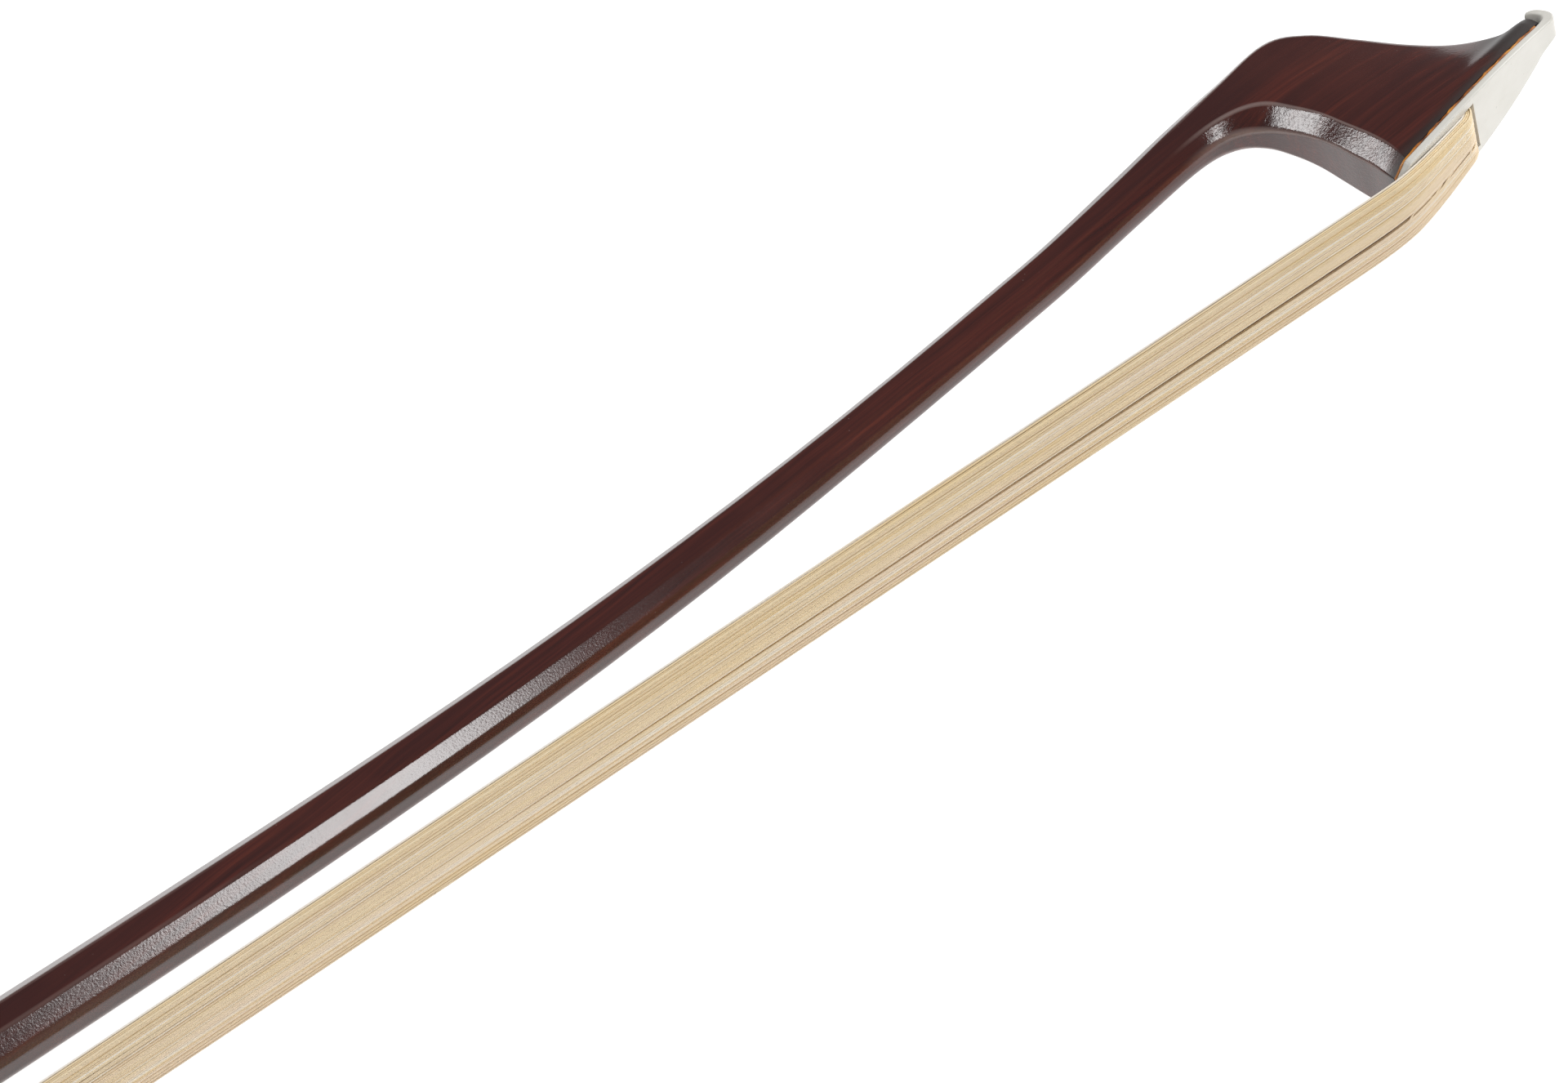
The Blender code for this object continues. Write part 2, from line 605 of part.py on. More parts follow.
def build_bow():
    """Build every piece on its carrier and lay the bow down."""
    clear_scene()
    finishes = make_finishes()
    bow = empty("bow")
    frog = empty("frog_carrier", bow)
    screw = empty("screw_carrier", bow)
    build_stick(bow, finishes["wood"])
    build_head_fittings(bow, finishes)
    build_hair(bow, finishes["hair"])
    build_handle_wraps(bow, finishes)
    body = build_frog_body(frog, finishes["ebony"])
    lining = build_underslide(frog, finishes["silver"])
    plates = build_heel_plates(frog, finishes["silver"])
    build_frog_pins(frog, body, lining, plates, finishes["silver"])
    build_eyelet(frog, finishes["brass"])
    build_slide(frog, finishes)
    build_ferrule(frog, finishes)
    build_frog_inside(frog, finishes)
    build_eyes(frog, finishes)
    build_screw(screw, finishes)
    lay_on_table(bow)


build_bow()
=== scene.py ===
"""A violin bow lying on its side: the looks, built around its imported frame.

Positions are given in the bow's own frame, in millimetres: X along the handle from the butt of the stick,
Y from the hair towards the stick's back, Z up through the bow's side. The head has a frame of its own, with
its origin at the heel of the tip plate's face, X along the hair towards the nose and Y away from the hair.
"""
import json
import math

import bmesh
import bpy
from mathutils import Matrix, Vector


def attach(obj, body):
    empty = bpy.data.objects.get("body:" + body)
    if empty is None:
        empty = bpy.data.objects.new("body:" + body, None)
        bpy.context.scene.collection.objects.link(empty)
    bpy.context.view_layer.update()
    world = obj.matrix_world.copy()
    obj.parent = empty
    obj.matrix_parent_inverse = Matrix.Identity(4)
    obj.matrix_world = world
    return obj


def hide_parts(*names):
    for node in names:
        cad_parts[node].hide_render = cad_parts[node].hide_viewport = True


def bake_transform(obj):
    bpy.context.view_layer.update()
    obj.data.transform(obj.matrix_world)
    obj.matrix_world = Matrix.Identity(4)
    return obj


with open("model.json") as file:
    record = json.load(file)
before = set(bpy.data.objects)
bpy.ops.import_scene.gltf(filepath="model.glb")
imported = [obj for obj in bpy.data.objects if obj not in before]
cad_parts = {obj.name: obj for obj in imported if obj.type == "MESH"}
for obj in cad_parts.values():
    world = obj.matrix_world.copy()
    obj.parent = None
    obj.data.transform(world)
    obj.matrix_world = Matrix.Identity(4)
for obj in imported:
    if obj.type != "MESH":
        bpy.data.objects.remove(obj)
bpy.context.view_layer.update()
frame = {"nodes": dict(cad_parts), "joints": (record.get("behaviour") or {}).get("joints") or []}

MM = 0.001
ORIGIN = next(Vector(joint["pos_m"]) for joint in frame["joints"] if joint["name"] == "screw_turn")

# The stick and its head
STICK_FLATS_BUTT = 8.6
STICK_FLATS_TIP = 4.97
TAPER_END = 645.5
TAPER_LENGTH = 113.0
TAPER_SOFTNESS = 6.0
BEND_AT = 620.75
BEND_SOFTNESS = 24.0
BEND_RISE = 0.19
HEEL_X = 704.0
HEEL_Y = -6.43
HAIR_SLOPE = 0.0215
FLAT_SHARE = math.tan(math.pi / 8)
CHEEK_STEPS = 11
STICK_EASE = 0.55
UPPER_EASE = 0.85
HEAD_EASE = 0.22

# The tip plate
PLATE_LENGTH = 25.5
PLATE_LEAN = 0.251
PLATE_BEND = 0.0047
PLATE_HALF_WIDTH = 5.2
PLATE_THICKNESS = 0.8
LINER_TOP = 0.93

# The hair
HAIR_WIDTH = 10.2
HAIR_WIDTH_FROG = 11.0
HAIR_THICKNESS = 0.95
FERRULE_FRONT = 61.0
FREE_LENGTH = HEEL_X - FERRULE_FRONT
HAIR_RADIUS = 0.14
HAIR_SPREAD = HAIR_THICKNESS - 0.12
MORTISE_EXIT = 11.0
HEEL_BEND_SOFTNESS = 1.6
HEEL_BEND_LIFT = PLATE_LEAN * HEEL_BEND_SOFTNESS * math.log(2)

# Where the stick and the plate are cut: along the handle, or along the plate from its heel
EYELET_SLOT = (14.5, 39.5)
HEAD_MORTISE = (2.2, 11.9)
PLATE_WINDOW = (1.9, 12.0)
PLATE_WINDOW_HALF = 3.7

# The handle
SCREW_RADIUS = 1.25
THREAD_PITCH = 0.7
THREAD_DEPTH = 0.2
THREAD_LENGTH = 25.6
STEPS_PER_TURN = 16
UNDER_WRAP = 0.3
GRIP_THICKNESS = 0.72
GRIP_START = 65.0
GRIP_END = 91.0
WINDING_END = 166.0
WIRE_RADIUS = 0.2

# Light and camera; the camera's place is in the head's frame
ROOM_LIGHT = 0.17
FLOOR_GLOW = 0.96
FLOOR_HALF = 6.0
CAMERA_LENS = 145.295
CAMERA_PLACE = (-171.313, -338.107, 532.725)

# Sections of the head, from the throat to the plate: the back's and the ridge's place, the back's half
# width, the cheek's back edge and front edge (share of the way across, half width), the ridge's half
# width, how full the cheek is and how far the section sags towards the plate.
HEAD_SECTIONS = (
    ((-21.2, 16.75), (-22.3, 21.7), 1.05, (0.29, 2.50), (0.71, 2.50), 1.05, 1.0, 0.0),
    ((-13.0, 18.1), (-14.2, 23.5), 1.15, (0.28, 2.55), (0.74, 2.45), 0.90, 1.0, 0.0),
    ((-9.0, 17.8), (-6.5, 24.95), 1.4, (0.24, 2.90), (0.82, 2.20), 0.65, 1.2, 0.0),
    ((-6.3, 16.1), (0.6, 26.05), 1.7, (0.20, 3.25), (0.90, 1.85), 0.50, 1.4, 0.0),
    ((-4.4, 13.6), (4.7, 24.0), 2.2, (0.17, 3.60), (0.94, 1.55), 0.45, 1.6, 0.0),
    ((-3.1, 11.2), (8.3, 20.1), 2.7, (0.16, 4.00), (0.955, 1.40), 0.45, 1.8, 0.1),
    ((-2.2, 8.7), (12.0, 15.9), 3.2, (0.14, 4.40), (0.96, 1.40), 0.50, 2.0, 0.2),
    ((-1.5, 6.2), (15.8, 12.5), 3.35, (0.13, 4.80), (0.96, 1.45), 0.60, 2.2, 0.3),
    ((-0.9, 4.2), (20.0, 10.3), 3.5, (0.11, 5.00), (0.965, 1.50), 0.80, 2.4, 0.5),
    ((-0.5, 2.4), (22.8, 10.0), 3.55, (0.095, 5.12), (0.96, 1.85), 1.30, 2.6, 0.7),
    ((-0.2, 0.98), (23.55, 8.55), 3.6, (0.08, 5.17), (0.95, 2.05), 1.5, 2.6, 0.38),
)


# ---------------------------------------------------------------- places and curves


def place(x, y, z=0.0):
    """A point of the bow's frame, in metres, where the frame has it."""
    return ORIGIN + Vector((x, y, z)) * MM


def head_to_bow(x, y, z=0.0):
    """A point of the head's frame in the bow's frame."""
    turn = math.atan(HAIR_SLOPE)
    return (HEEL_X + x * math.cos(turn) - y * math.sin(turn),
            HEEL_Y + x * math.sin(turn) + y * math.cos(turn), z)


def soft_ramp(distance, softness):
    """Zero before, a straight rise after, with a soft bend between."""
    if distance > 30 * softness:
        return distance
    return softness * math.log1p(math.exp(distance / softness))


def stick_centre(x):
    """Height of the stick's centre line above the handle's axis, which is its camber."""
    return BEND_RISE * soft_ramp(x - BEND_AT, BEND_SOFTNESS)


def stick_slope(x):
    """Slope of that centre line."""
    return BEND_RISE / (1 + math.exp(-(x - BEND_AT) / BEND_SOFTNESS))


def stick_flats(x):
    """Width of the stick across its flats."""
    back_from_end = soft_ramp(TAPER_END - x, TAPER_SOFTNESS)
    grown = 1 - math.exp(-back_from_end / TAPER_LENGTH)
    return STICK_FLATS_TIP + (STICK_FLATS_BUTT - STICK_FLATS_TIP) * grown


def plate_curve(distance, lift):
    """A point above the tip plate's face, at a distance from its heel along the face."""
    turn = PLATE_LEAN + PLATE_BEND * distance
    x = (math.sin(turn) - math.sin(PLATE_LEAN)) / PLATE_BEND
    y = (math.cos(PLATE_LEAN) - math.cos(turn)) / PLATE_BEND
    return x - lift * math.sin(turn), y + lift * math.cos(turn)


def plate_half_width(distance):
    """Half width of the tip plate at a distance from its heel."""
    share = min(max(distance / PLATE_LENGTH, 0.0), 1.0)
    heel_corner = 3.6 + max(distance, 0.0) * 0.9
    return min(PLATE_HALF_WIDTH - 3.75 * share ** 2.6, heel_corner)


def through(rows, steps):
    """Rows of numbers joined by a smooth curve, with a few steps between each two."""
    made = []
    for index in range(len(rows) - 1):
        before = rows[max(index - 1, 0)]
        here, after = rows[index], rows[index + 1]
        beyond = rows[min(index + 2, len(rows) - 1)]
        for step in range(steps):
            t = step / steps
            made.append([0.5 * (2 * b + (c - a) * t + (2 * a - 5 * b + 4 * c - d) * t * t
                                + (3 * b - a - 3 * c + d) * t ** 3)
                         for a, b, c, d in zip(before, here, after, beyond)])
    return made + [list(rows[-1])]


def ease_corners(points, reaches, steps=4):
    """A 2D outline with its corners rounded, with a support point beside each round."""
    made = []
    count = len(points)
    for index, corner in enumerate(points):
        here = Vector(corner)
        before = Vector(points[index - 1]) - here
        after = Vector(points[(index + 1) % count]) - here
        distance = min(reaches[index], 0.42 * before.length, 0.42 * after.length)
        first = here + before.normalized() * distance
        last = here + after.normalized() * distance
        made.append((tuple(here + before.normalized() * distance * 1.15), 0.0))
        for step in range(steps + 1):
            t = step / steps
            spot = first * (1 - t) ** 2 + here * 2 * t * (1 - t) + last * t ** 2
            made.append((tuple(spot), math.sin(math.pi * t)))
        made.append((tuple(here + after.normalized() * distance * 1.15), 0.0))
    return made


# ---------------------------------------------------------------- meshes


def mesh_piece(name, points, faces, finish, attributes=None):
    """A piece from points in metres, with its faces turned outwards and its marks kept on the points."""
    mesh = bpy.data.meshes.new(name)
    mesh.from_pydata(points, [], faces)
    for title, values in (attributes or {}).items():
        mesh.attributes.new(title, "FLOAT", "POINT").data.foreach_set("value", values)
    work = bmesh.new()
    work.from_mesh(mesh)
    bmesh.ops.recalc_face_normals(work, faces=work.faces)
    work.to_mesh(mesh)
    work.free()
    mesh.shade_smooth()
    made = bpy.data.objects.new(name, mesh)
    bpy.context.collection.objects.link(made)
    if finish:
        mesh.materials.append(finish)
    return made


def lofted(name, rings, finish, attributes=None, capped=True):
    """A piece through rings of equal count."""
    count = len(rings[0])
    points = [point for ring in rings for point in ring]
    faces = []
    for row in range(len(rings) - 1):
        for step in range(count):
            here = row * count + step
            beside = row * count + (step + 1) % count
            faces.append([here, beside, beside + count, here + count])
    if capped:
        faces.append(list(range(count)))
        faces.append(list(range(len(points) - count, len(points))))
    return mesh_piece(name, points, faces, finish, attributes)


def sharpen(piece, degrees):
    """Keep the edges that turn more than this sharp."""
    piece.data.set_sharp_from_angle(angle=math.radians(degrees))


def settle(piece, degrees=None):
    """Apply a piece's modifiers, and keep its real edges sharp."""
    bpy.context.view_layer.update()
    seen = piece.evaluated_get(bpy.context.evaluated_depsgraph_get())
    mesh = bpy.data.meshes.new_from_object(seen, preserve_all_data_layers=True,
                                           depsgraph=bpy.context.evaluated_depsgraph_get())
    mesh.name = piece.name
    piece.modifiers.clear()
    piece.data = mesh
    if degrees:
        mesh.shade_smooth()
        sharpen(piece, degrees)
    return piece


def cut(piece, tool):
    """Cut a tool's shape out of a piece, and take the tool away."""
    change = piece.modifiers.new("cut", "BOOLEAN")
    change.operation = "DIFFERENCE"
    change.solver = "EXACT"
    change.object = tool
    settle(piece)
    bpy.data.objects.remove(tool, do_unlink=True)
    return piece


def eased_copy(name, node, finish, width, steps=3, degrees=32):
    """A CAD node's shape with its edges eased as the maker's file leaves them."""
    mesh = frame["nodes"][node].data.copy()
    mesh.name = name
    work = bmesh.new()
    work.from_mesh(mesh)
    bmesh.ops.remove_doubles(work, verts=work.verts, dist=0.000002)
    bmesh.ops.dissolve_limit(work, angle_limit=math.radians(1.5), verts=work.verts, edges=work.edges)
    bmesh.ops.recalc_face_normals(work, faces=work.faces)
    work.to_mesh(mesh)
    work.free()
    mesh.materials.clear()
    mesh.materials.append(finish)
    piece = bpy.data.objects.new(name, mesh)
    bpy.context.collection.objects.link(piece)
    ease = piece.modifiers.new("ease", "BEVEL")
    ease.width = width * MM
    ease.segments = steps
    ease.limit_method = "ANGLE"
    ease.angle_limit = math.radians(degrees)
    ease.use_clamp_overlap = True
    ease.harden_normals = False
    mesh.shade_smooth()
    return settle(piece, 38)


def assign(node, finish):
    """Give a CAD node its finish."""
    slots = frame["nodes"][node].data.materials
    if not slots:
        slots.append(finish)
    for index in range(len(slots)):
        slots[index] = finish


def fit(piece, body, slot, *nodes):
    """Hang a piece on the empty of the body it rides on and hide the CAD nodes it stands in for; the slot is
    not used.
    """
    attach(piece, body)
    if nodes:
        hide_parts(*nodes)
    return piece


# ---------------------------------------------------------------- node trees


def put(tree, kind, settings=None, feeds=None):
    """A node with its settings, and its sockets fed by a value or by another node's output."""
    made = tree.nodes.new(kind)
    for key, value in (settings or {}).items():
        setattr(made, key, value)
    for key, value in (feeds or {}).items():
        if isinstance(value, bpy.types.NodeSocket):
            tree.links.new(value, made.inputs[key])
        else:
            made.inputs[key].default_value = value
    return made


def calc(tree, operation, *values):
    """A sum on the surface."""
    return put(tree, "ShaderNodeMath", {"operation": operation}, dict(enumerate(values))).outputs[0]


def plus(tree, first, second):
    """One value and another."""
    return calc(tree, "ADD", first, second)


def minus(tree, first, second):
    """One value less another."""
    return calc(tree, "SUBTRACT", first, second)


def times(tree, first, second):
    """One value times another."""
    return calc(tree, "MULTIPLY", first, second)


def piece_place(tree):
    """Where a point is on the piece, in metres."""
    return put(tree, "ShaderNodeTexCoord").outputs["Object"]


def ramp(tree, factor, stops, mode="LINEAR"):
    """A colour picked by a factor."""
    made = put(tree, "ShaderNodeValToRGB", None, {0: factor})
    made.color_ramp.interpolation = mode
    elements = made.color_ramp.elements
    while len(elements) < len(stops):
        elements.new(0.5)
    for element, (at, colour) in zip(elements, stops):
        element.position = at
        element.color = (*colour, 1.0)
    return made.outputs[0]


def blend_colours(tree, factor, first, second, mode="MIX"):
    """Two colours mixed by a factor."""
    made = put(tree, "ShaderNodeMix", {"data_type": "RGBA", "blend_type": mode}, {0: factor})
    for socket, value in ((made.inputs[6], first), (made.inputs[7], second)):
        if isinstance(value, bpy.types.NodeSocket):
            tree.links.new(value, socket)
        else:
            socket.default_value = (*value, 1.0)
    return made.outputs[2]


def stretch(tree, vector, scale, turn=(0.0, 0.0, 0.0)):
    """Coordinates scaled and turned."""
    return put(tree, "ShaderNodeMapping", None, {0: vector, "Scale": scale, "Rotation": turn}).outputs[0]


def speckle(tree, vector, scale, detail=4.0, roughness=0.55, distortion=0.0):
    """A noise value on the surface."""
    return put(tree, "ShaderNodeTexNoise", None,
               {"Vector": vector, "Scale": scale, "Detail": detail, "Roughness": roughness,
                "Distortion": distortion}).outputs[0]


def spread(tree, value, low, high, to_low=0.0, to_high=1.0):
    """A value taken from one range to another."""
    return put(tree, "ShaderNodeMapRange", {"clamp": True},
               {0: value, 1: low, 2: high, 3: to_low, 4: to_high}).outputs[0]


def group_tree(name, inputs, outputs):
    """An empty node group with named sockets."""
    tree = bpy.data.node_groups.new(name, "ShaderNodeTree")
    for title, kind, value in inputs:
        socket = tree.interface.new_socket(title, in_out="INPUT", socket_type="NodeSocket" + kind)
        socket.default_value = value
    for title, kind in outputs:
        tree.interface.new_socket(title, in_out="OUTPUT", socket_type="NodeSocket" + kind)
    return tree, put(tree, "NodeGroupInput"), put(tree, "NodeGroupOutput")


def streaks_group():
    """Long fibres that run along the bow: wood grain, hair and drawn metal."""
    tree, given, result = group_tree(
        "streaks", (("Along", "Float", 30.0), ("Across", "Float", 1500.0),
                    ("Wander", "Float", 0.3), ("Lean", "Float", 0.0)),
        (("Fine", "Float"), ("Broad", "Float")))
    where = piece_place(tree)
    parts = put(tree, "ShaderNodeSeparateXYZ", None, {0: where}).outputs
    leaned = minus(tree, parts[1], times(tree, parts[0], given.outputs["Lean"]))
    waver = speckle(tree, where, 60.0, 2.0)
    shift = times(tree, minus(tree, waver, 0.5),
                 times(tree, given.outputs["Wander"], 0.01))
    spot = put(tree, "ShaderNodeCombineXYZ", None, {
        0: times(tree, parts[0], given.outputs["Along"]),
        1: times(tree, plus(tree, leaned, shift), given.outputs["Across"]),
        2: times(tree, parts[2], times(tree, given.outputs["Across"], 0.3))}).outputs[0]
    fine = speckle(tree, spot, 1.0, 5.0, 0.62)
    broad = speckle(tree, stretch(tree, spot, (0.3, 0.16, 0.16)), 1.0, 3.0, 0.5)
    tree.links.new(fine, result.inputs["Fine"])
    tree.links.new(broad, result.inputs["Broad"])
    return tree


def handling_group():
    """Marks of use: pebbled lacquer, fine scratches, dust and rubbed patches."""
    tree, given, result = group_tree(
        "handling", (("Pebble", "Float", 2600.0), ("Scratch", "Float", 900.0),
                     ("Patch", "Float", 90.0)),
        (("Pebbles", "Float"), ("Scratches", "Float"), ("Patches", "Float"),
         ("Dust", "Float")))
    where = piece_place(tree)
    pebbles = speckle(tree, where, given.outputs["Pebble"], 2.0, 0.5)
    long_way = stretch(tree, where, (0.04, 1.0, 1.0), (0.0, 0.0, 0.35))
    lines = speckle(tree, long_way, given.outputs["Scratch"], 2.0, 0.7)
    patches = speckle(tree, where, given.outputs["Patch"], 4.0, 0.6)
    dots = put(tree, "ShaderNodeTexVoronoi", None, {"Vector": where, "Scale": 1100.0}).outputs[0]
    rare = spread(tree, speckle(tree, where, 320.0, 1.0), 0.55, 0.7)
    tree.links.new(pebbles, result.inputs["Pebbles"])
    tree.links.new(spread(tree, lines, 0.62, 0.72), result.inputs["Scratches"])
    tree.links.new(patches, result.inputs["Patches"])
    tree.links.new(times(tree, spread(tree, dots, 0.10, 0.04), rare), result.inputs["Dust"])
    return tree


STREAKS = streaks_group()
HANDLING = handling_group()


def finish_named(name, constants):
    """A material with its Principled shader, whose plain values are set on its own sockets."""
    made = bpy.data.materials.new(name)
    made.use_nodes = True
    tree = made.node_tree
    shader = tree.nodes["Principled BSDF"]
    for title, value in constants.items():
        shader.inputs[title].default_value = value
    return made, tree, shader


def use_group(tree, group, values=None):
    """A shared group placed in a material with its own values."""
    made = put(tree, "ShaderNodeGroup", {"node_tree": group}, values)
    return made.outputs


def relief(tree, shader, height, strength, distance):
    """Bump from a height, in metres."""
    made = put(tree, "ShaderNodeBump", None, {"Height": height, "Strength": strength, "Distance": distance})
    tree.links.new(made.outputs[0], shader.inputs["Normal"])


def paint(tree, shader, colour):
    """Feed the base colour."""
    tree.links.new(colour, shader.inputs["Base Color"])


def roughen(tree, shader, value, low, high, smooth, rough):
    """Roughness from one value to another, as a pattern goes from low to high."""
    tree.links.new(spread(tree, value, low, high, smooth, rough), shader.inputs["Roughness"])


def mark(tree, title):
    """A value kept on the piece's points."""
    return put(tree, "ShaderNodeAttribute", {"attribute_name": title}).outputs["Fac"]


def varnished_wood():
    """Dark red-brown pernambuco under a glossy varnish that has shrunk into fine pebbles."""
    made, tree, shader = finish_named("varnished_pernambuco", {"IOR": 1.5, "Specular IOR Level": 0.75})
    grain = use_group(tree, STREAKS, {"Along": 45.0, "Across": 2000.0, "Wander": 0.12, "Lean": 0.13})
    use = use_group(tree, HANDLING, {"Pebble": 4200.0, "Scratch": 700.0, "Patch": 60.0})
    base = ramp(tree, grain["Fine"], ((0.34, (0.040, 0.010, 0.009)), (0.48, (0.064, 0.014, 0.011)),
                                      (0.60, (0.088, 0.018, 0.013)), (0.74, (0.140, 0.030, 0.017))))
    clouded = blend_colours(tree, spread(tree, grain["Broad"], 0.42, 0.66), base, (0.046, 0.011, 0.010))
    patched = blend_colours(tree, spread(tree, use["Patches"], 0.5, 0.75, 0.0, 0.35), clouded,
                            (0.100, 0.024, 0.017))
    rubbed = blend_colours(tree, times(tree, mark(tree, "arris"), 0.15), patched,
                           (0.150, 0.040, 0.022))
    # Painted highlight: a pale line on the arrises where the crinkle mark is, strongest around the throat,
    # stands in for the varnish's shine along those edges.
    painted_edge_highlight = times(tree, mark(tree, "arris"), times(tree, mark(tree, "crinkle"), 0.45))
    edge_highlighted = blend_colours(tree, painted_edge_highlight, rubbed, (0.42, 0.34, 0.32))
    black = blend_colours(tree, mark(tree, "ebonised"), edge_highlighted, (0.026, 0.018, 0.016))
    dusty = blend_colours(tree, times(tree, use["Dust"], 0.25), black, (0.35, 0.30, 0.28))
    paint(tree, shader, dusty)
    rough = plus(tree, spread(tree, use["Patches"], 0.3, 0.8, 0.12, 0.18),
                 times(tree, mark(tree, "ebonised"), 0.28))
    tree.links.new(rough, shader.inputs["Roughness"])
    where = piece_place(tree)
    wrinkles = speckle(tree, where, 2300.0, 3.0, 0.55, 1.2)
    crinkle = times(tree, times(tree, mark(tree, "crinkle"), 3.6), wrinkles)
    high = plus(tree, plus(tree, use["Pebbles"], crinkle),
                times(tree, grain["Fine"], 0.25))
    relief(tree, shader, high, 0.17, 0.00004)
    return made


def plate_ivory():
    """Polished off-white plate with faint growth lines and grey handling."""
    made, tree, shader = finish_named("polished_plate", {"IOR": 1.5, "Specular IOR Level": 0.5})
    lines = use_group(tree, STREAKS, {"Along": 160.0, "Across": 900.0, "Wander": 0.5, "Lean": 0.25})
    use = use_group(tree, HANDLING, {"Pebble": 1500.0, "Scratch": 1200.0, "Patch": 140.0})
    tone = ramp(tree, lines["Fine"], ((0.3, (0.71, 0.69, 0.63)), (0.7, (0.76, 0.74, 0.69))))
    grey = blend_colours(tree, spread(tree, use["Patches"], 0.45, 0.8, 0.0, 0.35), tone, (0.66, 0.635, 0.58))
    marked = blend_colours(tree, times(tree, use["Scratches"], 0.12), grey, (0.55, 0.50, 0.44))
    specked = blend_colours(tree, times(tree, use["Dust"], 0.35), marked, (0.35, 0.28, 0.22))
    paint(tree, shader, specked)
    roughen(tree, shader, use["Patches"], 0.3, 0.8, 0.26, 0.42)
    relief(tree, shader, plus(tree, use["Pebbles"], use["Scratches"]), 0.3, 0.00002)
    return made


def amber_liner():
    """The thin liner: amber, darker where glue and polish have run."""
    made, tree, shader = finish_named("amber_liner", {"IOR": 1.5})
    use = use_group(tree, HANDLING, {"Pebble": 1800.0, "Scratch": 500.0, "Patch": 420.0})
    tone = ramp(tree, use["Patches"], ((0.36, (0.10, 0.028, 0.008)), (0.5, (0.42, 0.13, 0.018)),
                                       (0.68, (0.78, 0.34, 0.05))))
    paint(tree, shader, tone)
    roughen(tree, shader, use["Pebbles"], 0.3, 0.7, 0.3, 0.5)
    relief(tree, shader, use["Pebbles"], 0.4, 0.00003)
    return made


def horse_hair():
    """Blond hairs, each with its own tone, with gold, white and rosy ones among them, and painted shade on
    the inner hairs where the parting opens.
    """
    made, tree, shader = finish_named("blond_hair", {"IOR": 1.55, "Specular IOR Level": 0.5})
    one = mark(tree, "strand")
    along = piece_place(tree)
    height = put(tree, "ShaderNodeSeparateXYZ", None, {0: along}).outputs[2]
    over_middle = times(tree, minus(tree, height, ORIGIN.z), 14.0)
    streaky = speckle(tree, stretch(tree, along, (24.0, 160.0, 700.0)), 1.0, 3.0)
    cloud = minus(tree, streaky, over_middle)
    tone = ramp(tree, one, (
        (0.0, (0.76, 0.57, 0.34)), (0.14, (0.86, 0.70, 0.47)), (0.45, (0.90, 0.74, 0.49)),
        (0.70, (0.86, 0.67, 0.42)), (0.86, (0.93, 0.83, 0.66)), (1.0, (0.96, 0.91, 0.83))))
    rosy = blend_colours(tree, spread(tree, cloud, 0.46, 0.66, 0.0, 0.55), tone, (0.89, 0.72, 0.55))
    golden = blend_colours(tree, spread(tree, cloud, 0.44, 0.30, 0.0, 0.6), rosy, (0.87, 0.66, 0.35))
    fine = speckle(tree, stretch(tree, along, (180.0, 2500.0, 5200.0)), 1.0, 3.0, 0.6)
    shaded = blend_colours(tree, spread(tree, fine, 0.56, 0.76, 0.0, 0.4), golden, (0.66, 0.45, 0.24))
    # Painted shade: the marked inner hairs at the parting are darkened to deep brown.
    deep = blend_colours(tree, mark(tree, "deep"), shaded, (0.16, 0.065, 0.03))
    paint(tree, shader, deep)
    roughen(tree, shader, one, 0.0, 1.0, 0.32, 0.5)
    relief(tree, shader, fine, 0.3, 0.00002)
    return made


def ebony():
    """Oiled ebony: near black, with long open pores and a soft shine."""
    made, tree, shader = finish_named("oiled_ebony", {"IOR": 1.5})
    grain = use_group(tree, STREAKS, {"Along": 110.0, "Across": 2600.0, "Wander": 0.1, "Lean": 0.05})
    use = use_group(tree, HANDLING, {"Pebble": 2400.0, "Scratch": 800.0, "Patch": 70.0})
    tone = ramp(tree, grain["Fine"], ((0.35, (0.010, 0.008, 0.008)), (0.6, (0.022, 0.017, 0.015)),
                                      (0.8, (0.055, 0.038, 0.028))))
    worn = blend_colours(tree, times(tree, use["Scratches"], 0.25), tone, (0.07, 0.06, 0.055))
    dusty = blend_colours(tree, times(tree, use["Dust"], 0.2), worn, (0.3, 0.28, 0.26))
    paint(tree, shader, dusty)
    pores = spread(tree, grain["Fine"], 0.30, 0.42)
    roughen(tree, shader, use["Patches"], 0.3, 0.8, 0.24, 0.42)
    relief(tree, shader, plus(tree, pores, times(tree, use["Pebbles"], 0.3)), 0.4, 0.00004)
    return made


def metal_finish(name, tones, rough, stretch_values, bump):
    """A metal with fine file or turning marks, tarnish in patches and a softer shine where handled."""
    made, tree, shader = finish_named(name, {"Metallic": 1.0})
    marks = use_group(tree, STREAKS, stretch_values)
    use = use_group(tree, HANDLING, {"Pebble": 2200.0, "Scratch": 1500.0, "Patch": 220.0})
    tone = blend_colours(tree, spread(tree, use["Patches"], 0.4, 0.75), tones[0], tones[1])
    scored = blend_colours(tree, times(tree, use["Scratches"], 0.3), tone, tones[2])
    paint(tree, shader, scored)
    worn = plus(tree, spread(tree, use["Patches"], 0.35, 0.8, rough[0], rough[1]),
                times(tree, marks["Fine"], 0.12))
    tree.links.new(worn, shader.inputs["Roughness"])
    relief(tree, shader, plus(tree, marks["Fine"], use["Scratches"]), 0.25, bump)
    return made


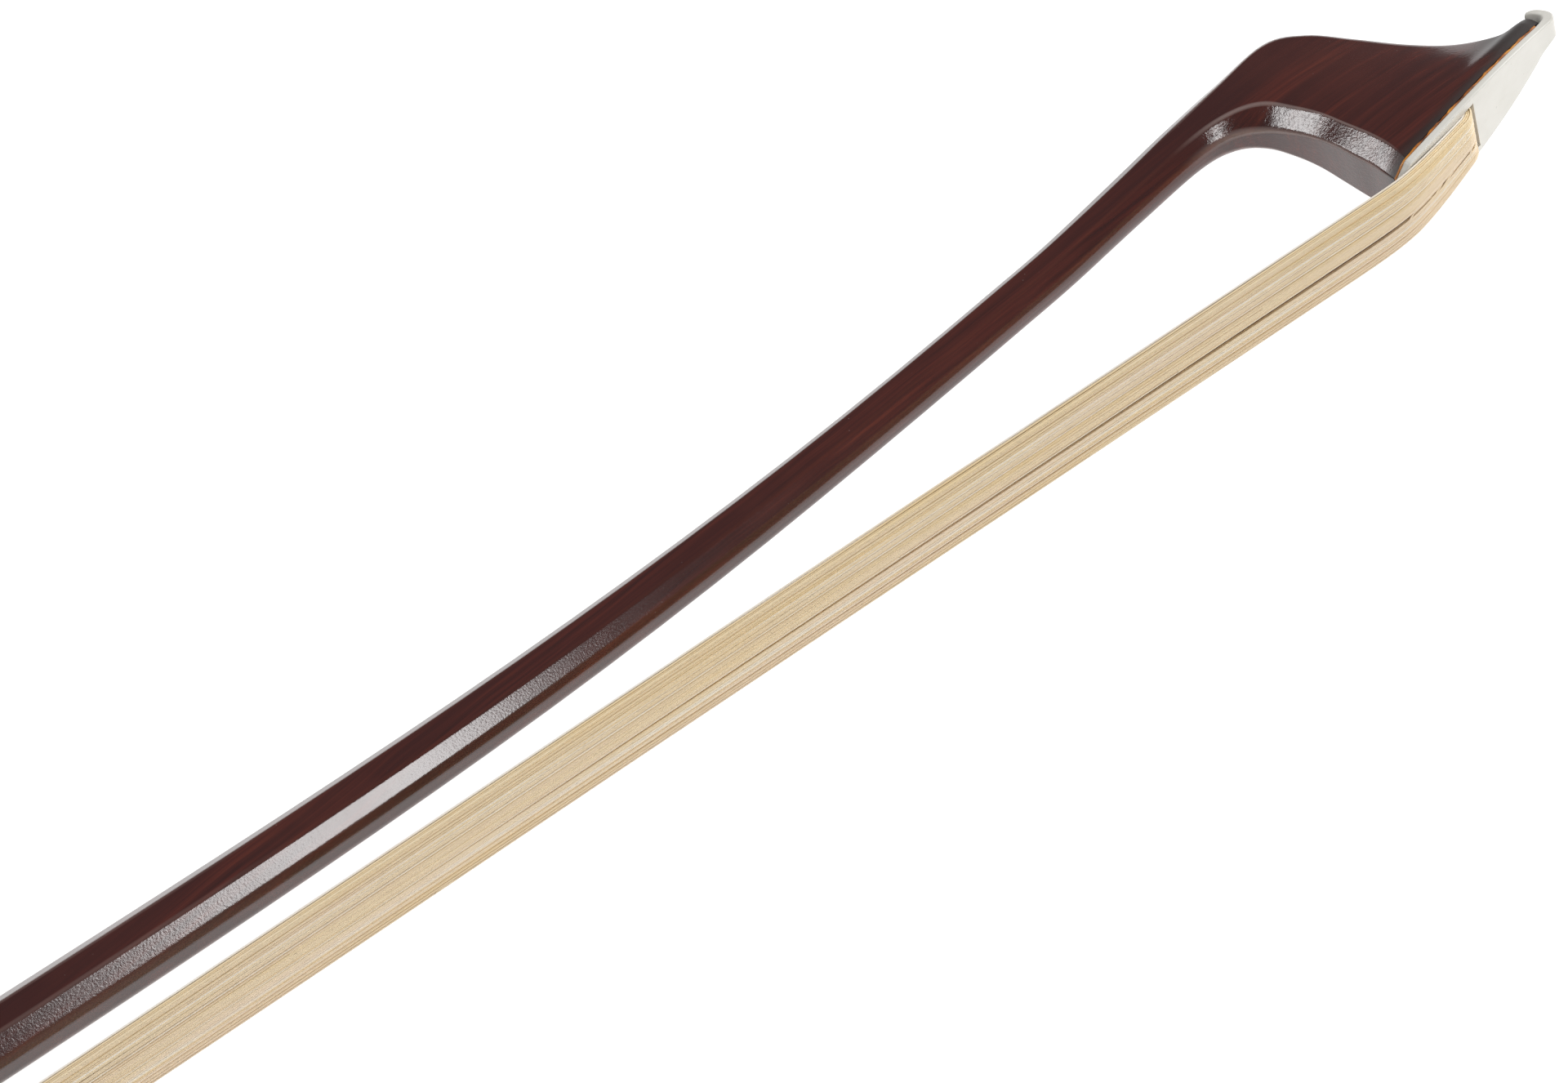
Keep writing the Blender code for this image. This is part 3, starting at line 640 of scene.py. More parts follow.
def pearl_shell():
    """Shell with layers that shimmer from rose to green and blue."""
    made, tree, shader = finish_named("pearl_shell", {"IOR": 1.53, "Coat Weight": 0.6,
                                                      "Coat Roughness": 0.06})
    where = piece_place(tree)
    bent = stretch(tree, where, (60.0, 110.0, 170.0), (0.3, 0.2, 0.6))
    layers = put(tree, "ShaderNodeTexWave", {"wave_type": "BANDS", "bands_direction": "Z"}, {
        "Vector": bent, "Scale": 1.6, "Distortion": 9.0, "Detail": 3.0, "Detail Scale": 1.4}).outputs[1]
    clouds = speckle(tree, where, 170.0, 3.0)
    tone = ramp(tree, layers, (
        (0.0, (0.70, 0.66, 0.70)), (0.3, (0.62, 0.74, 0.72)), (0.55, (0.80, 0.80, 0.76)),
        (0.8, (0.80, 0.68, 0.70)), (1.0, (0.60, 0.68, 0.80))))
    pale = blend_colours(tree, spread(tree, clouds, 0.35, 0.7, 0.1, 0.7), tone, (0.84, 0.84, 0.80))
    paint(tree, shader, pale)
    roughen(tree, shader, layers, 0.0, 1.0, 0.18, 0.34)
    relief(tree, shader, layers, 0.15, 0.00003)
    return made


def grip_leather():
    """Black kid leather, with fine pebbles, creases across the stick and a rubbed shine."""
    made, tree, shader = finish_named("grip_leather", {"IOR": 1.48})
    where = piece_place(tree)
    use = use_group(tree, HANDLING, {"Pebble": 1500.0, "Scratch": 500.0, "Patch": 110.0})
    cells = put(tree, "ShaderNodeTexVoronoi", {"feature": "DISTANCE_TO_EDGE"},
                {"Vector": where, "Scale": 1250.0}).outputs[0]
    creases = speckle(tree, stretch(tree, where, (900.0, 120.0, 120.0)), 1.0, 4.0, 0.6)
    tone = blend_colours(tree, spread(tree, use["Patches"], 0.4, 0.75),
                         (0.018, 0.014, 0.012), (0.045, 0.034, 0.028))
    rubbed = blend_colours(tree, spread(tree, cells, 0.05, 0.3, 0.0, 0.3), tone, (0.07, 0.056, 0.047))
    paint(tree, shader, rubbed)
    roughen(tree, shader, use["Patches"], 0.3, 0.8, 0.62, 0.42)
    high = plus(tree, spread(tree, cells, 0.0, 0.25), times(tree, creases, 0.8))
    relief(tree, shader, high, 0.6, 0.00012)
    return made


def bare_wood():
    """Sanded poplar for the plugs and the wedge."""
    made, tree, shader = finish_named("bare_poplar", {"IOR": 1.45})
    grain = use_group(tree, STREAKS, {"Along": 120.0, "Across": 1500.0, "Wander": 0.3, "Lean": 0.0})
    tone = ramp(tree, grain["Fine"], ((0.3, (0.36, 0.22, 0.11)), (0.55, (0.56, 0.39, 0.22)),
                                      (0.8, (0.70, 0.54, 0.34))))
    paint(tree, shader, tone)
    roughen(tree, shader, grain["Broad"], 0.3, 0.7, 0.6, 0.8)
    relief(tree, shader, grain["Fine"], 0.5, 0.00006)
    return made


def waxed_thread():
    """Turns of waxed thread around the tied ends of the hair."""
    made, tree, shader = finish_named("waxed_thread", {"IOR": 1.45})
    where = piece_place(tree)
    turns = put(tree, "ShaderNodeTexWave", {"wave_type": "BANDS", "bands_direction": "Z"},
                {"Vector": where, "Scale": 700.0, "Distortion": 0.6, "Detail": 2.0}).outputs[1]
    fluff = speckle(tree, where, 2600.0, 3.0)
    tone = ramp(tree, turns, ((0.0, (0.22, 0.16, 0.10)), (0.5, (0.60, 0.50, 0.36)),
                              (1.0, (0.78, 0.70, 0.55))))
    tree.links.new(blend_colours(tree, spread(tree, fluff, 0.5, 0.8, 0.0, 0.4), tone, (0.85, 0.8, 0.7)),
                   shader.inputs["Base Color"])
    roughen(tree, shader, turns, 0.0, 1.0, 0.8, 0.55)
    relief(tree, shader, turns, 0.8, 0.0001)
    return made


def make_finishes():
    """Every finish of the bow."""
    drawn = {"Along": 300.0, "Across": 6000.0, "Wander": 0.05, "Lean": 0.2}
    turned = {"Along": 9000.0, "Across": 200.0, "Wander": 0.02, "Lean": 0.0}
    return {
        "wood": varnished_wood(), "ivory": plate_ivory(), "amber": amber_liner(), "hair": horse_hair(),
        "ebony": ebony(), "pearl": pearl_shell(), "leather": grip_leather(), "plug": bare_wood(),
        "thread": waxed_thread(),
        "silver": metal_finish("worn_silver", ((0.80, 0.78, 0.74), (0.62, 0.58, 0.52), (0.42, 0.39, 0.35)),
                               (0.14, 0.30), drawn, 0.00002),
        "wire": metal_finish("drawn_wire", ((0.78, 0.76, 0.72), (0.70, 0.67, 0.62), (0.50, 0.47, 0.43)),
                             (0.24, 0.32), drawn, 0.000004),
        "brass": metal_finish("machined_brass", ((0.80, 0.57, 0.27), (0.58, 0.38, 0.16), (0.38, 0.24, 0.10)),
                              (0.2, 0.38), turned, 0.00003),
        "steel": metal_finish("turned_steel", ((0.56, 0.56, 0.57), (0.42, 0.41, 0.41), (0.28, 0.26, 0.25)),
                              (0.22, 0.42), turned, 0.00003),
    }


# ---------------------------------------------------------------- the stick and its head


def stick_row(x):
    """One section of the stick, as numbers: back, ridge, half widths and places across."""
    half = stick_flats(x) / 2
    corner = half * FLAT_SHARE
    slope = stick_slope(x)
    run = math.hypot(1, slope)
    centre = stick_centre(x)
    low, high = (1 - FLAT_SHARE) / 2, (1 + FLAT_SHARE) / 2
    return [x + half * slope / run, centre - half / run, x - half * slope / run, centre + half / run,
            corner, low, half, high, half, corner, 1.0, 0.0, STICK_EASE, UPPER_EASE]


def head_row(section, ease, front_ease):
    """One section of the head, as the same numbers in the bow's frame."""
    back, ridge, back_half, heel_edge, front_edge, ridge_half, fullness, sag = section
    return [*head_to_bow(*back)[:2], *head_to_bow(*ridge)[:2], back_half, *heel_edge, *front_edge,
            ridge_half, fullness, sag, ease, front_ease]


def section_ring(row):
    """The points of one section, up one side and down the other, and how much each is on an arris."""
    back, ridge = row[0:2], row[2:4]
    back_half, low, low_half, high, high_half, ridge_half, fullness, sag, ease, front_ease = row[4:]
    length = math.hypot(ridge[0] - back[0], ridge[1] - back[1])
    side = [(0.0, back_half), (low * length, low_half)]
    margin = min(0.3, 0.8 / ((high - low) * length))
    for step in range(CHEEK_STEPS):
        run = margin + (1 - 2 * margin) * step / (CHEEK_STEPS - 1)
        across = low_half + (high_half - low_half) * run ** fullness
        side.append(((low + (high - low) * run) * length, across))
    side += [(high * length, high_half), (length, ridge_half)]
    outline = side + [(up, -across) for up, across in reversed(side)]
    corners = {0, 1, len(side) - 2, len(side) - 1}
    corners |= {len(outline) - 1 - corner for corner in corners}
    rounds = (1.4 * ease, 0.9 * ease, front_ease)
    reaches = [rounds[min(index, len(outline) - 1 - index, 2)] for index in range(len(outline))]
    eased = ease_corners(outline, reaches)
    each = len(eased) // len(outline)
    ring, arris = [], []
    for index in range(len(outline)):
        group = eased[index * each:(index + 1) * each]
        if index not in corners:
            group = [(outline[index], 0.0)]
        for (up, across), worn in group:
            share = up / length
            x = back[0] + (ridge[0] - back[0]) * share
            y = back[1] + (ridge[1] - back[1]) * share - 4 * sag * share * (1 - share)
            ring.append(place(x, y, across))
            arris.append(worn)
    return ring, arris


def above_plate(point):
    """Height of a point above the tip plate's face, and how far along the head it is, in millimetres."""
    local = (point - ORIGIN) / MM
    turn = math.atan(HAIR_SLOPE)
    dx, dy = local.x - HEEL_X, local.y - HEEL_Y
    x = dx * math.cos(turn) + dy * math.sin(turn)
    y = dy * math.cos(turn) - dx * math.sin(turn)
    face = x * math.tan(PLATE_LEAN) + 0.5 * PLATE_BEND * x * x * 1.1 if x > 0 else x * math.tan(PLATE_LEAN)
    return (y - face) * math.cos(PLATE_LEAN), x, y


def smoothstep(value, low, high):
    """A soft step from zero to one."""
    share = min(max((value - low) / (high - low), 0.0), 1.0)
    return share * share * (3 - 2 * share)


def build_stick(finish):
    """The stick and its head, eased along every arris, with the screw's bore, the slot and the mortise."""
    places = [0.0, 0.35, 6.0] + [18.0 * step for step in range(1, 28)]
    places += [504 + 7.0 * step for step in range(1, 25)]
    rows = [stick_row(x) for x in places]
    coarse = [stick_row(665.0), stick_row(672.0)]
    eases = (0.7, 0.6, 0.5, 0.4, 0.3, HEAD_EASE, HEAD_EASE, HEAD_EASE, HEAD_EASE, 0.15, 0.08)
    front_eases = (0.6, 0.7, 0.8, 0.85, 0.85, 0.85, 0.8, 0.7, 0.5, 0.25, 0.1)
    coarse += [head_row(*row) for row in zip(HEAD_SECTIONS, eases, front_eases)]
    rows = [row for row in rows if row[0] < 664.0] + through(coarse, 7)
    rings, arris = [], []
    for row in rows:
        ring, worn = section_ring(row)
        rings.append(ring)
        arris += worn
    middle = place(0, 0)
    rings[0] = [point + (Vector((point.x, middle.y, middle.z)) - point) * 0.08 for point in rings[0]]
    ebonised, crinkle = [], []
    for ring in rings:
        for point in ring:
            lift, x, y = above_plate(point)
            near_nose = smoothstep(x, 13.5, 19.0) * smoothstep(lift, 7.5, 4.0)
            band = 0.85 * smoothstep(lift, 2.7, 1.0) if x > -4 else 0.0
            ebonised.append(max(band, near_nose))
            throat = smoothstep(x, -16.0, -8.0) * smoothstep(x, 3.0, 0.0) * smoothstep(y, 1.5, 4.0)
            from_heel = (point.x - ORIGIN.x) / MM
            crinkle.append(max(throat, 0.35 * smoothstep(from_heel, 576.0, 552.0)))
    marks = {"arris": arris, "ebonised": ebonised, "crinkle": crinkle}
    stick = lofted("stick_and_head", rings, finish, marks)
    cut(stick, round_tool(SCREW_RADIUS + 0.3, -2.0, 47.5))
    cut(stick, block_tool(EYELET_SLOT, (-7.0, 2.4), 2.2))
    cut(stick, plate_tool(HEAD_MORTISE, (0.3, 5.6), 3.3))
    sharpen(stick, 50)
    return fit(stick, "stick", "varnished_wood", "stick")


def round_tool(radius, low, high, count=24):
    """A round cutter along the handle's axis."""
    turns = [2 * math.pi * (step + 0.5) / count for step in range(count)]
    rings = [[place(x, radius * math.cos(turn), radius * math.sin(turn)) for turn in turns]
             for x in (low, high)]
    return lofted("tool", rings, None)


def block_tool(span, rise, half):
    """A square cutter."""
    low, high = rise
    rings = [[place(x, low, -half), place(x, high, -half), place(x, high, half), place(x, low, half)]
             for x in span]
    return lofted("tool", rings, None)


def plate_tool(span, lifts, half):
    """A cutter square to the tip plate."""
    corners = ((span[0], lifts[0]), (span[1], lifts[0]), (span[1], lifts[1]), (span[0], lifts[1]))
    flat = [head_to_bow(*plate_curve(distance, lift)) for distance, lift in corners]
    return lofted("tool", [[place(x, y, z) for x, y, _ in flat] for z in (-half, half)], None)


# ---------------------------------------------------------------- the head's fittings


def sheet_ring(outer, inner, half, ease):
    """A section of a sheet between an outer and an inner point, with its edges eased."""
    start = Vector((*outer, 0.0))
    across = Vector((*inner, 0.0)) - start
    deep = across.length
    outline = [(0.0, half), (deep, half), (deep, -half), (0.0, -half)]
    ring = []
    for (depth, side), _ in ease_corners(outline, [ease] * len(outline)):
        spot = start + across.normalized() * depth
        ring.append(place(*head_to_bow(spot.x, spot.y, side)))
    return ring


def build_liner(finish):
    """The thin liner between the head and its plate, a little uneven at its edge."""
    rings = []
    steps = 44
    for step in range(steps + 1):
        distance = 0.1 + (PLATE_LENGTH - 1.3) * step / steps
        uneven = 0.03 * math.sin(distance * 2.1) + 0.02 * math.sin(distance * 5.3 + 1)
        half = plate_half_width(distance) + 0.01 + uneven
        rings.append(sheet_ring(plate_curve(distance, PLATE_THICKNESS - 0.02),
                                plate_curve(distance, LINER_TOP + 0.06 + uneven), half, 0.06))
    liner = lofted("plate_liner", rings, finish)
    cut(liner, plate_tool(PLATE_WINDOW, (-1.0, 4.0), PLATE_WINDOW_HALF))
    sharpen(liner, 40)
    return fit(liner, "stick", "liner_amber", "head_plate_liner")


def build_plate(finish):
    """The tip plate, drawn up into a beak around the nose."""
    rows = []
    for distance in (0.0, 0.45, 0.9, 1.35, 1.7, 2.1, *(3 + 20.9 * step / 17 for step in range(18))):
        rows.append([*plate_curve(distance, 0.0), *plate_curve(distance, PLATE_THICKNESS),
                     plate_half_width(distance)])
    rows += [[24.55, 7.75, 23.75, 8.5, 1.66], [25.1, 8.05, 24.05, 8.7, 1.64], [25.3, 8.55, 24.2, 9.0, 1.6],
             [25.15, 9.15, 24.1, 9.35, 1.55], [24.7, 9.8, 23.8, 9.75, 1.5], [24.1, 10.4, 23.45, 10.15, 1.4],
             [23.55, 10.75, 23.1, 10.5, 1.15]]
    fine = through(rows, 3)
    rings = [sheet_ring(row[0:2], row[2:4], row[4], 0.22) for row in fine]
    plate = lofted("tip_plate_ivory", rings, finish)
    cut(plate, plate_tool(PLATE_WINDOW, (-1.0, 4.0), PLATE_WINDOW_HALF))
    sharpen(plate, 50)
    return fit(plate, "stick", "plate_ivory", "tip_plate")


# ---------------------------------------------------------------- the hair


def hair_half_width(distance):
    """Half width of the ribbon near the head, which fans out from the mortise to past the plate's heel."""
    towards_frog = (HAIR_WIDTH_FROG - HAIR_WIDTH) / 2 * max(0.0, -distance) / FREE_LENGTH
    return HAIR_WIDTH / 2 + towards_frog - 0.14 * soft_ramp(distance + 1.0, 2.5)


def heel_bend(distance):
    """How far the ribbon's inner surface is above the hair's line, where it rounds the plate's heel."""
    held = max(0.0, 1 - distance / MORTISE_EXIT) if distance > 0 else math.exp(distance / 60.0)
    return PLATE_LEAN * soft_ramp(distance, HEEL_BEND_SOFTNESS) - HEEL_BEND_LIFT * held


def heel_row(distance, along, up, loose):
    """A row of the guide near the heel: before it towards the frog, or over the plate."""
    x, y, _ = head_to_bow(along, up)
    turned = PLATE_LEAN / (1 + math.exp(min(30.0, -distance / HEEL_BEND_SOFTNESS)))
    turned += PLATE_BEND * max(0.0, distance)
    return [x, y, math.atan(HAIR_SLOPE) + turned, hair_half_width(distance), loose]


def hair_guide_rows():
    """The ribbon's inner surface: place, direction, half width and how freely the hairs lie."""
    lean = math.atan(HAIR_SLOPE)
    rows = []
    over_plate = ((MORTISE_EXIT, 3.2, 90, 0.0), (10.95, 1.3, 86, 0.0), (10.7, 0.4, 55, 0.1),
                  (10.1, 0.03, 15, 0.2), (9.0, -0.05, 0, 0.3))
    for distance, lift, turned, loose in over_plate:
        half = hair_half_width(distance)
        x, y, _ = head_to_bow(*plate_curve(distance, lift))
        rows.append([x, y, lean + PLATE_LEAN + PLATE_BEND * distance + math.radians(turned), half, loose])
    for distance in (6.5, 4.8, 3.6, 2.6, 1.8, 1.0, 0.3):
        lift = heel_bend(distance) - PLATE_LEAN * distance
        rows.append(heel_row(distance, *plate_curve(distance, lift), 0.3))
    free = (0.4, 1.2, 2.0, 2.9, 4.0, 5.5, 7.5, 10.5, 15, 22, 32, 45, 60, 78, 98, 120, 145, 172, 200, 235,
            275, 320, 370, 420, 470, 520, 565, 600, 625)
    for distance in (*free, FREE_LENGTH):
        loose = max(0.1, min(1.0, 0.3 + distance / 50, (FREE_LENGTH - distance) / 30))
        rows.append(heel_row(-distance, -distance, heel_bend(-distance), loose))
    in_frog = ((52.0, -19.6, 0, 5.0), (47.0, -19.4, 0, 4.2), (42.0, -19.3, 0, 3.6), (39.9, -18.7, -45, 3.5),
               (39.3, -16.8, -90, 3.5))
    for x, y, turned, half in in_frog:
        rows.append([x, y, math.radians(turned), half, 0.05])
    return rows


def hair_guide():
    """The guide as a line of points that carries the ribbon's width and direction."""
    rows = hair_guide_rows()
    fine = through(rows[:6], 3)[:-1] + rows[5:]
    points = [place(row[0], row[1]) for row in fine]
    mesh = bpy.data.meshes.new("hair_guide")
    mesh.from_pydata(points, [(step, step + 1) for step in range(len(points) - 1)], [])
    down = [value for row in fine for value in (math.sin(row[2]), -math.cos(row[2]), 0.0)]
    mesh.attributes.new("outwards", "FLOAT_VECTOR", "POINT").data.foreach_set("vector", down)
    mesh.attributes.new("half", "FLOAT", "POINT").data.foreach_set("value", [row[3] * MM for row in fine])
    mesh.attributes.new("loose", "FLOAT", "POINT").data.foreach_set("value", [row[4] for row in fine])
    behind = [max(0.0, HEEL_X - row[0]) * MM for row in fine]
    mesh.attributes.new("behind", "FLOAT", "POINT").data.foreach_set("value", behind)
    guide = bpy.data.objects.new("bow_hair", mesh)
    bpy.context.collection.objects.link(guide)
    return guide


def geometry_tree(name, inputs):
    """An empty Geometry Nodes tree with named inputs."""
    tree = bpy.data.node_groups.new(name, "GeometryNodeTree")
    tree.interface.new_socket("Geometry", in_out="INPUT", socket_type="NodeSocketGeometry")
    for title, kind in inputs:
        tree.interface.new_socket(title, in_out="INPUT", socket_type="NodeSocket" + kind)
    tree.interface.new_socket("Geometry", in_out="OUTPUT", socket_type="NodeSocketGeometry")
    return tree, put(tree, "NodeGroupInput").outputs, put(tree, "NodeGroupOutput")


def grow(piece, tree, values):
    """Run a Geometry Nodes tree on a piece and keep the result as a plain mesh."""
    change = piece.modifiers.new("grow", "NODES")
    change.node_group = tree
    for item in tree.interface.items_tree:
        if item.in_out == "INPUT" and item.name in values:
            change[item.identifier] = values[item.name]
    return settle(piece)


def named(tree, title, kind="FLOAT"):
    """A value carried by the points."""
    return put(tree, "GeometryNodeInputNamedAttribute", {"data_type": kind}, {"Name": title}).outputs[0]


def keep_value(tree, geometry, title, value):
    """Store a value on the points."""
    return put(tree, "GeometryNodeStoreNamedAttribute", {"data_type": "FLOAT", "domain": "POINT"},
               {0: geometry, "Name": title, "Value": value}).outputs[0]


def random_value(tree, low, high, index, seed):
    """A fixed random value for each index."""
    return put(tree, "FunctionNodeRandomValue", {"data_type": "FLOAT"},
               {2: low, 3: high, "ID": index, "Seed": seed}).outputs[1]


def hair_tree():
    """Single hairs laid side by side in layers along the guide."""
    tree, given, result = geometry_tree("bow_hairs", (
        ("Hairs Across", "Int"), ("Layers", "Int"), ("Ribbon Thickness", "Float"),
        ("Hair Radius", "Float"), ("Drift", "Float"), ("Parting Place", "Float"),
        ("Parting Width", "Float"), ("Parting Length", "Float"), ("Seed", "Int"),
        ("Hair", "Material")))
    lines = put(tree, "GeometryNodeMeshToCurve", None, {0: given["Geometry"]}).outputs[0]
    amount = times(tree, given["Hairs Across"], given["Layers"])
    copies = put(tree, "GeometryNodeDuplicateElements", {"domain": "SPLINE"}, {0: lines, "Amount": amount})
    index = copies.outputs[1]
    seed = given["Seed"]
    layer = calc(tree, "MODULO", index, given["Layers"])
    row = calc(tree, "FLOOR", calc(tree, "DIVIDE", index, given["Layers"]))
    jitter = random_value(tree, -0.45, 0.45, index, seed)
    share = calc(tree, "DIVIDE", plus(tree, plus(tree, row, 0.5), jitter), given["Hairs Across"])
    side = times(tree, minus(tree, times(tree, share, 2.0), 1.0),
                named(tree, "half"))
    uneven = random_value(tree, -0.25, 0.25, index, plus(tree, seed, 3))
    depth = calc(tree, "DIVIDE", plus(tree, plus(tree, layer, 0.5), uneven), given["Layers"])
    deep = times(tree, depth, given["Ribbon Thickness"])
    spot = put(tree, "GeometryNodeInputPosition").outputs[0]
    along = put(tree, "ShaderNodeSeparateXYZ", None, {0: spot}).outputs[0]
    lane = put(tree, "ShaderNodeCombineXYZ", None, {0: times(tree, along, 14.0),
                                                    1: times(tree, index, 7.31), 2: 0.5}).outputs[0]
    noise = put(tree, "ShaderNodeTexNoise", None, {"Vector": lane, "Scale": 1.0, "Detail": 1.5})
    waver = put(tree, "ShaderNodeSeparateXYZ", None, {0: noise.outputs[1]}).outputs
    freedom = times(tree, given["Drift"], named(tree, "loose"))
    sideways = times(tree, minus(tree, waver[0], 0.5), freedom)
    outwards = times(tree, minus(tree, waver[1], 0.5), times(tree, freedom, 0.4))
    from_parting = minus(tree, side, given["Parting Place"])
    near = calc(tree, "EXPONENT", times(tree, calc(tree, "ABSOLUTE", from_parting), -900.0))
    behind = named(tree, "behind")
    fade = put(tree, "ShaderNodeMapRange", {"interpolation_type": "SMOOTHSTEP"},
               {0: behind, 1: given["Parting Length"], 2: 0.0, 3: 0.0, 4: 1.0}).outputs[0]
    opened = times(tree, times(tree, near, fade),
                  times(tree, given["Parting Width"], calc(tree, "SIGN", from_parting)))
    held = minus(tree, 1.0, times(tree, near, fade))
    across = plus(tree, plus(tree, side, times(tree, sideways, held)), opened)
    move_side = put(tree, "ShaderNodeCombineXYZ", None, {2: across}).outputs[0]
    move_out = put(tree, "ShaderNodeVectorMath", {"operation": "SCALE"},
                   {0: named(tree, "outwards", "FLOAT_VECTOR"),
                     "Scale": plus(tree, deep, outwards)}).outputs[0]
    offset = put(tree, "ShaderNodeVectorMath", {"operation": "ADD"}, {0: move_side, 1: move_out}).outputs[0]
    laid = put(tree, "GeometryNodeSetPosition", None, {0: copies.outputs[0], "Offset": offset}).outputs[0]
    tone = random_value(tree, 0.0, 1.0, index, plus(tree, seed, 9))
    toned = keep_value(tree, laid, "strand", tone)
    # Painted shade: the inner layers' hairs are marked where the parting opens, to be darkened as the shade
    # inside the gap.
    inner = calc(tree, "LESS_THAN", layer, 1.5)
    shadow = times(tree, times(tree, near, fade), inner)
    shaded = keep_value(tree, toned, "deep", shadow)
    profile = put(tree, "GeometryNodeCurvePrimitiveCircle", None,
                  {"Resolution": 4, "Radius": given["Hair Radius"]}).outputs[0]
    tubes = put(tree, "GeometryNodeCurveToMesh", None,
                {0: shaded, "Profile Curve": profile, "Fill Caps": True}).outputs[0]
    whole = put(tree, "GeometryNodeRealizeInstances", None, {0: tubes}).outputs[0]
    finished = put(tree, "GeometryNodeSetMaterial", None, {0: whole, "Material": given["Hair"]}).outputs[0]
    tree.links.new(finished, result.inputs[0])
    return tree


def build_hair(finish):
    """The ribbon as single hairs, held at the head and drawn along by the frog."""
    hair = grow(hair_guide(), hair_tree(), {
        "Hairs Across": 54, "Layers": 4, "Ribbon Thickness": HAIR_SPREAD * MM,
        "Hair Radius": HAIR_RADIUS * MM, "Drift": 0.34 * MM, "Parting Place": -1.4 * MM,
        "Parting Width": 0.3 * MM, "Parting Length": 170 * MM, "Seed": 11, "Hair": finish})
    hair.data.shade_smooth()
    for title in ("outwards", "half", "loose", "behind"):
        found = hair.data.attributes.get(title)
        if found:
            hair.data.attributes.remove(found)
    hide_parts("hair_ribbon")
    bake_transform(hair)
    return hair


# ---------------------------------------------------------------- the handle's wraps


def coil_tree():
    """A wire wound around the handle's axis, over flats or over a round."""
    tree, given, result = geometry_tree("wound_wire", (
        ("Start", "Vector"), ("Reach", "Float"), ("Pitch", "Float"),
        ("Steps per Turn", "Int"), ("Steps", "Int"), ("Flatness", "Float"),
        ("Wire Radius", "Float"), ("Wire", "Material")))
    line = put(tree, "GeometryNodeMeshLine", None, {"Count": given["Steps"]}).outputs[0]
    index = put(tree, "GeometryNodeInputIndex").outputs[0]
    turns = calc(tree, "DIVIDE", index, given["Steps per Turn"])
    angle = times(tree, turns, 2 * math.pi)
    within = minus(tree, calc(tree, "FLOORED_MODULO", angle, math.pi / 4), math.pi / 8)
    from_flat = minus(tree, calc(tree, "ABSOLUTE", within), math.pi / 8)
    flat = minus(tree, calc(tree, "DIVIDE", 1.0, calc(tree, "COSINE", from_flat)), 1.0)
    reach = times(tree, given["Reach"],
                 plus(tree, 1.0, times(tree, flat, given["Flatness"])))
    spot = put(tree, "ShaderNodeCombineXYZ", None, {
        0: times(tree, turns, given["Pitch"]),
        1: times(tree, reach, calc(tree, "COSINE", angle)),
        2: times(tree, reach, calc(tree, "SINE", angle))}).outputs[0]
    placed = put(tree, "ShaderNodeVectorMath", {"operation": "ADD"},
                 {0: spot, 1: given["Start"]}).outputs[0]
    wound = put(tree, "GeometryNodeSetPosition", None, {0: line, "Position": placed}).outputs[0]
    curve = put(tree, "GeometryNodeMeshToCurve", None, {0: wound}).outputs[0]
    profile = put(tree, "GeometryNodeCurvePrimitiveCircle", None,
                  {"Resolution": 6, "Radius": given["Wire Radius"]}).outputs[0]
    tube = put(tree, "GeometryNodeCurveToMesh", None,
               {0: curve, "Profile Curve": profile, "Fill Caps": True}).outputs[0]
    whole = put(tree, "GeometryNodeRealizeInstances", None, {0: tube}).outputs[0]
    finished = put(tree, "GeometryNodeSetMaterial", None, {0: whole, "Material": given["Wire"]}).outputs[0]
    tree.links.new(finished, result.inputs[0])
    return tree


def coil(name, tree, values):
    """A wound piece on an empty carrier mesh."""
    mesh = bpy.data.meshes.new(name)
    piece = bpy.data.objects.new(name, mesh)
    bpy.context.collection.objects.link(piece)
    grow(piece, tree, values)
    piece.data.shade_smooth()
    return piece


def build_winding(tree, finish):
    """Silver wire wound close over the stick's flats."""
    pitch = 2.12 * WIRE_RADIUS
    start = GRIP_END + 0.55
    turns = (WINDING_END - 0.25 - start) / pitch
    reach = STICK_FLATS_BUTT / 2 + UNDER_WRAP + WIRE_RADIUS + 0.05
    wire = coil("silver_winding", tree, {
        "Start": place(start, 0.0), "Reach": reach * MM, "Pitch": pitch * MM,
        "Steps per Turn": STEPS_PER_TURN, "Steps": int(turns * STEPS_PER_TURN), "Flatness": 0.9,
        "Wire Radius": WIRE_RADIUS * MM, "Wire": finish})
    return fit(wire, "stick", "silver", "wire_winding")


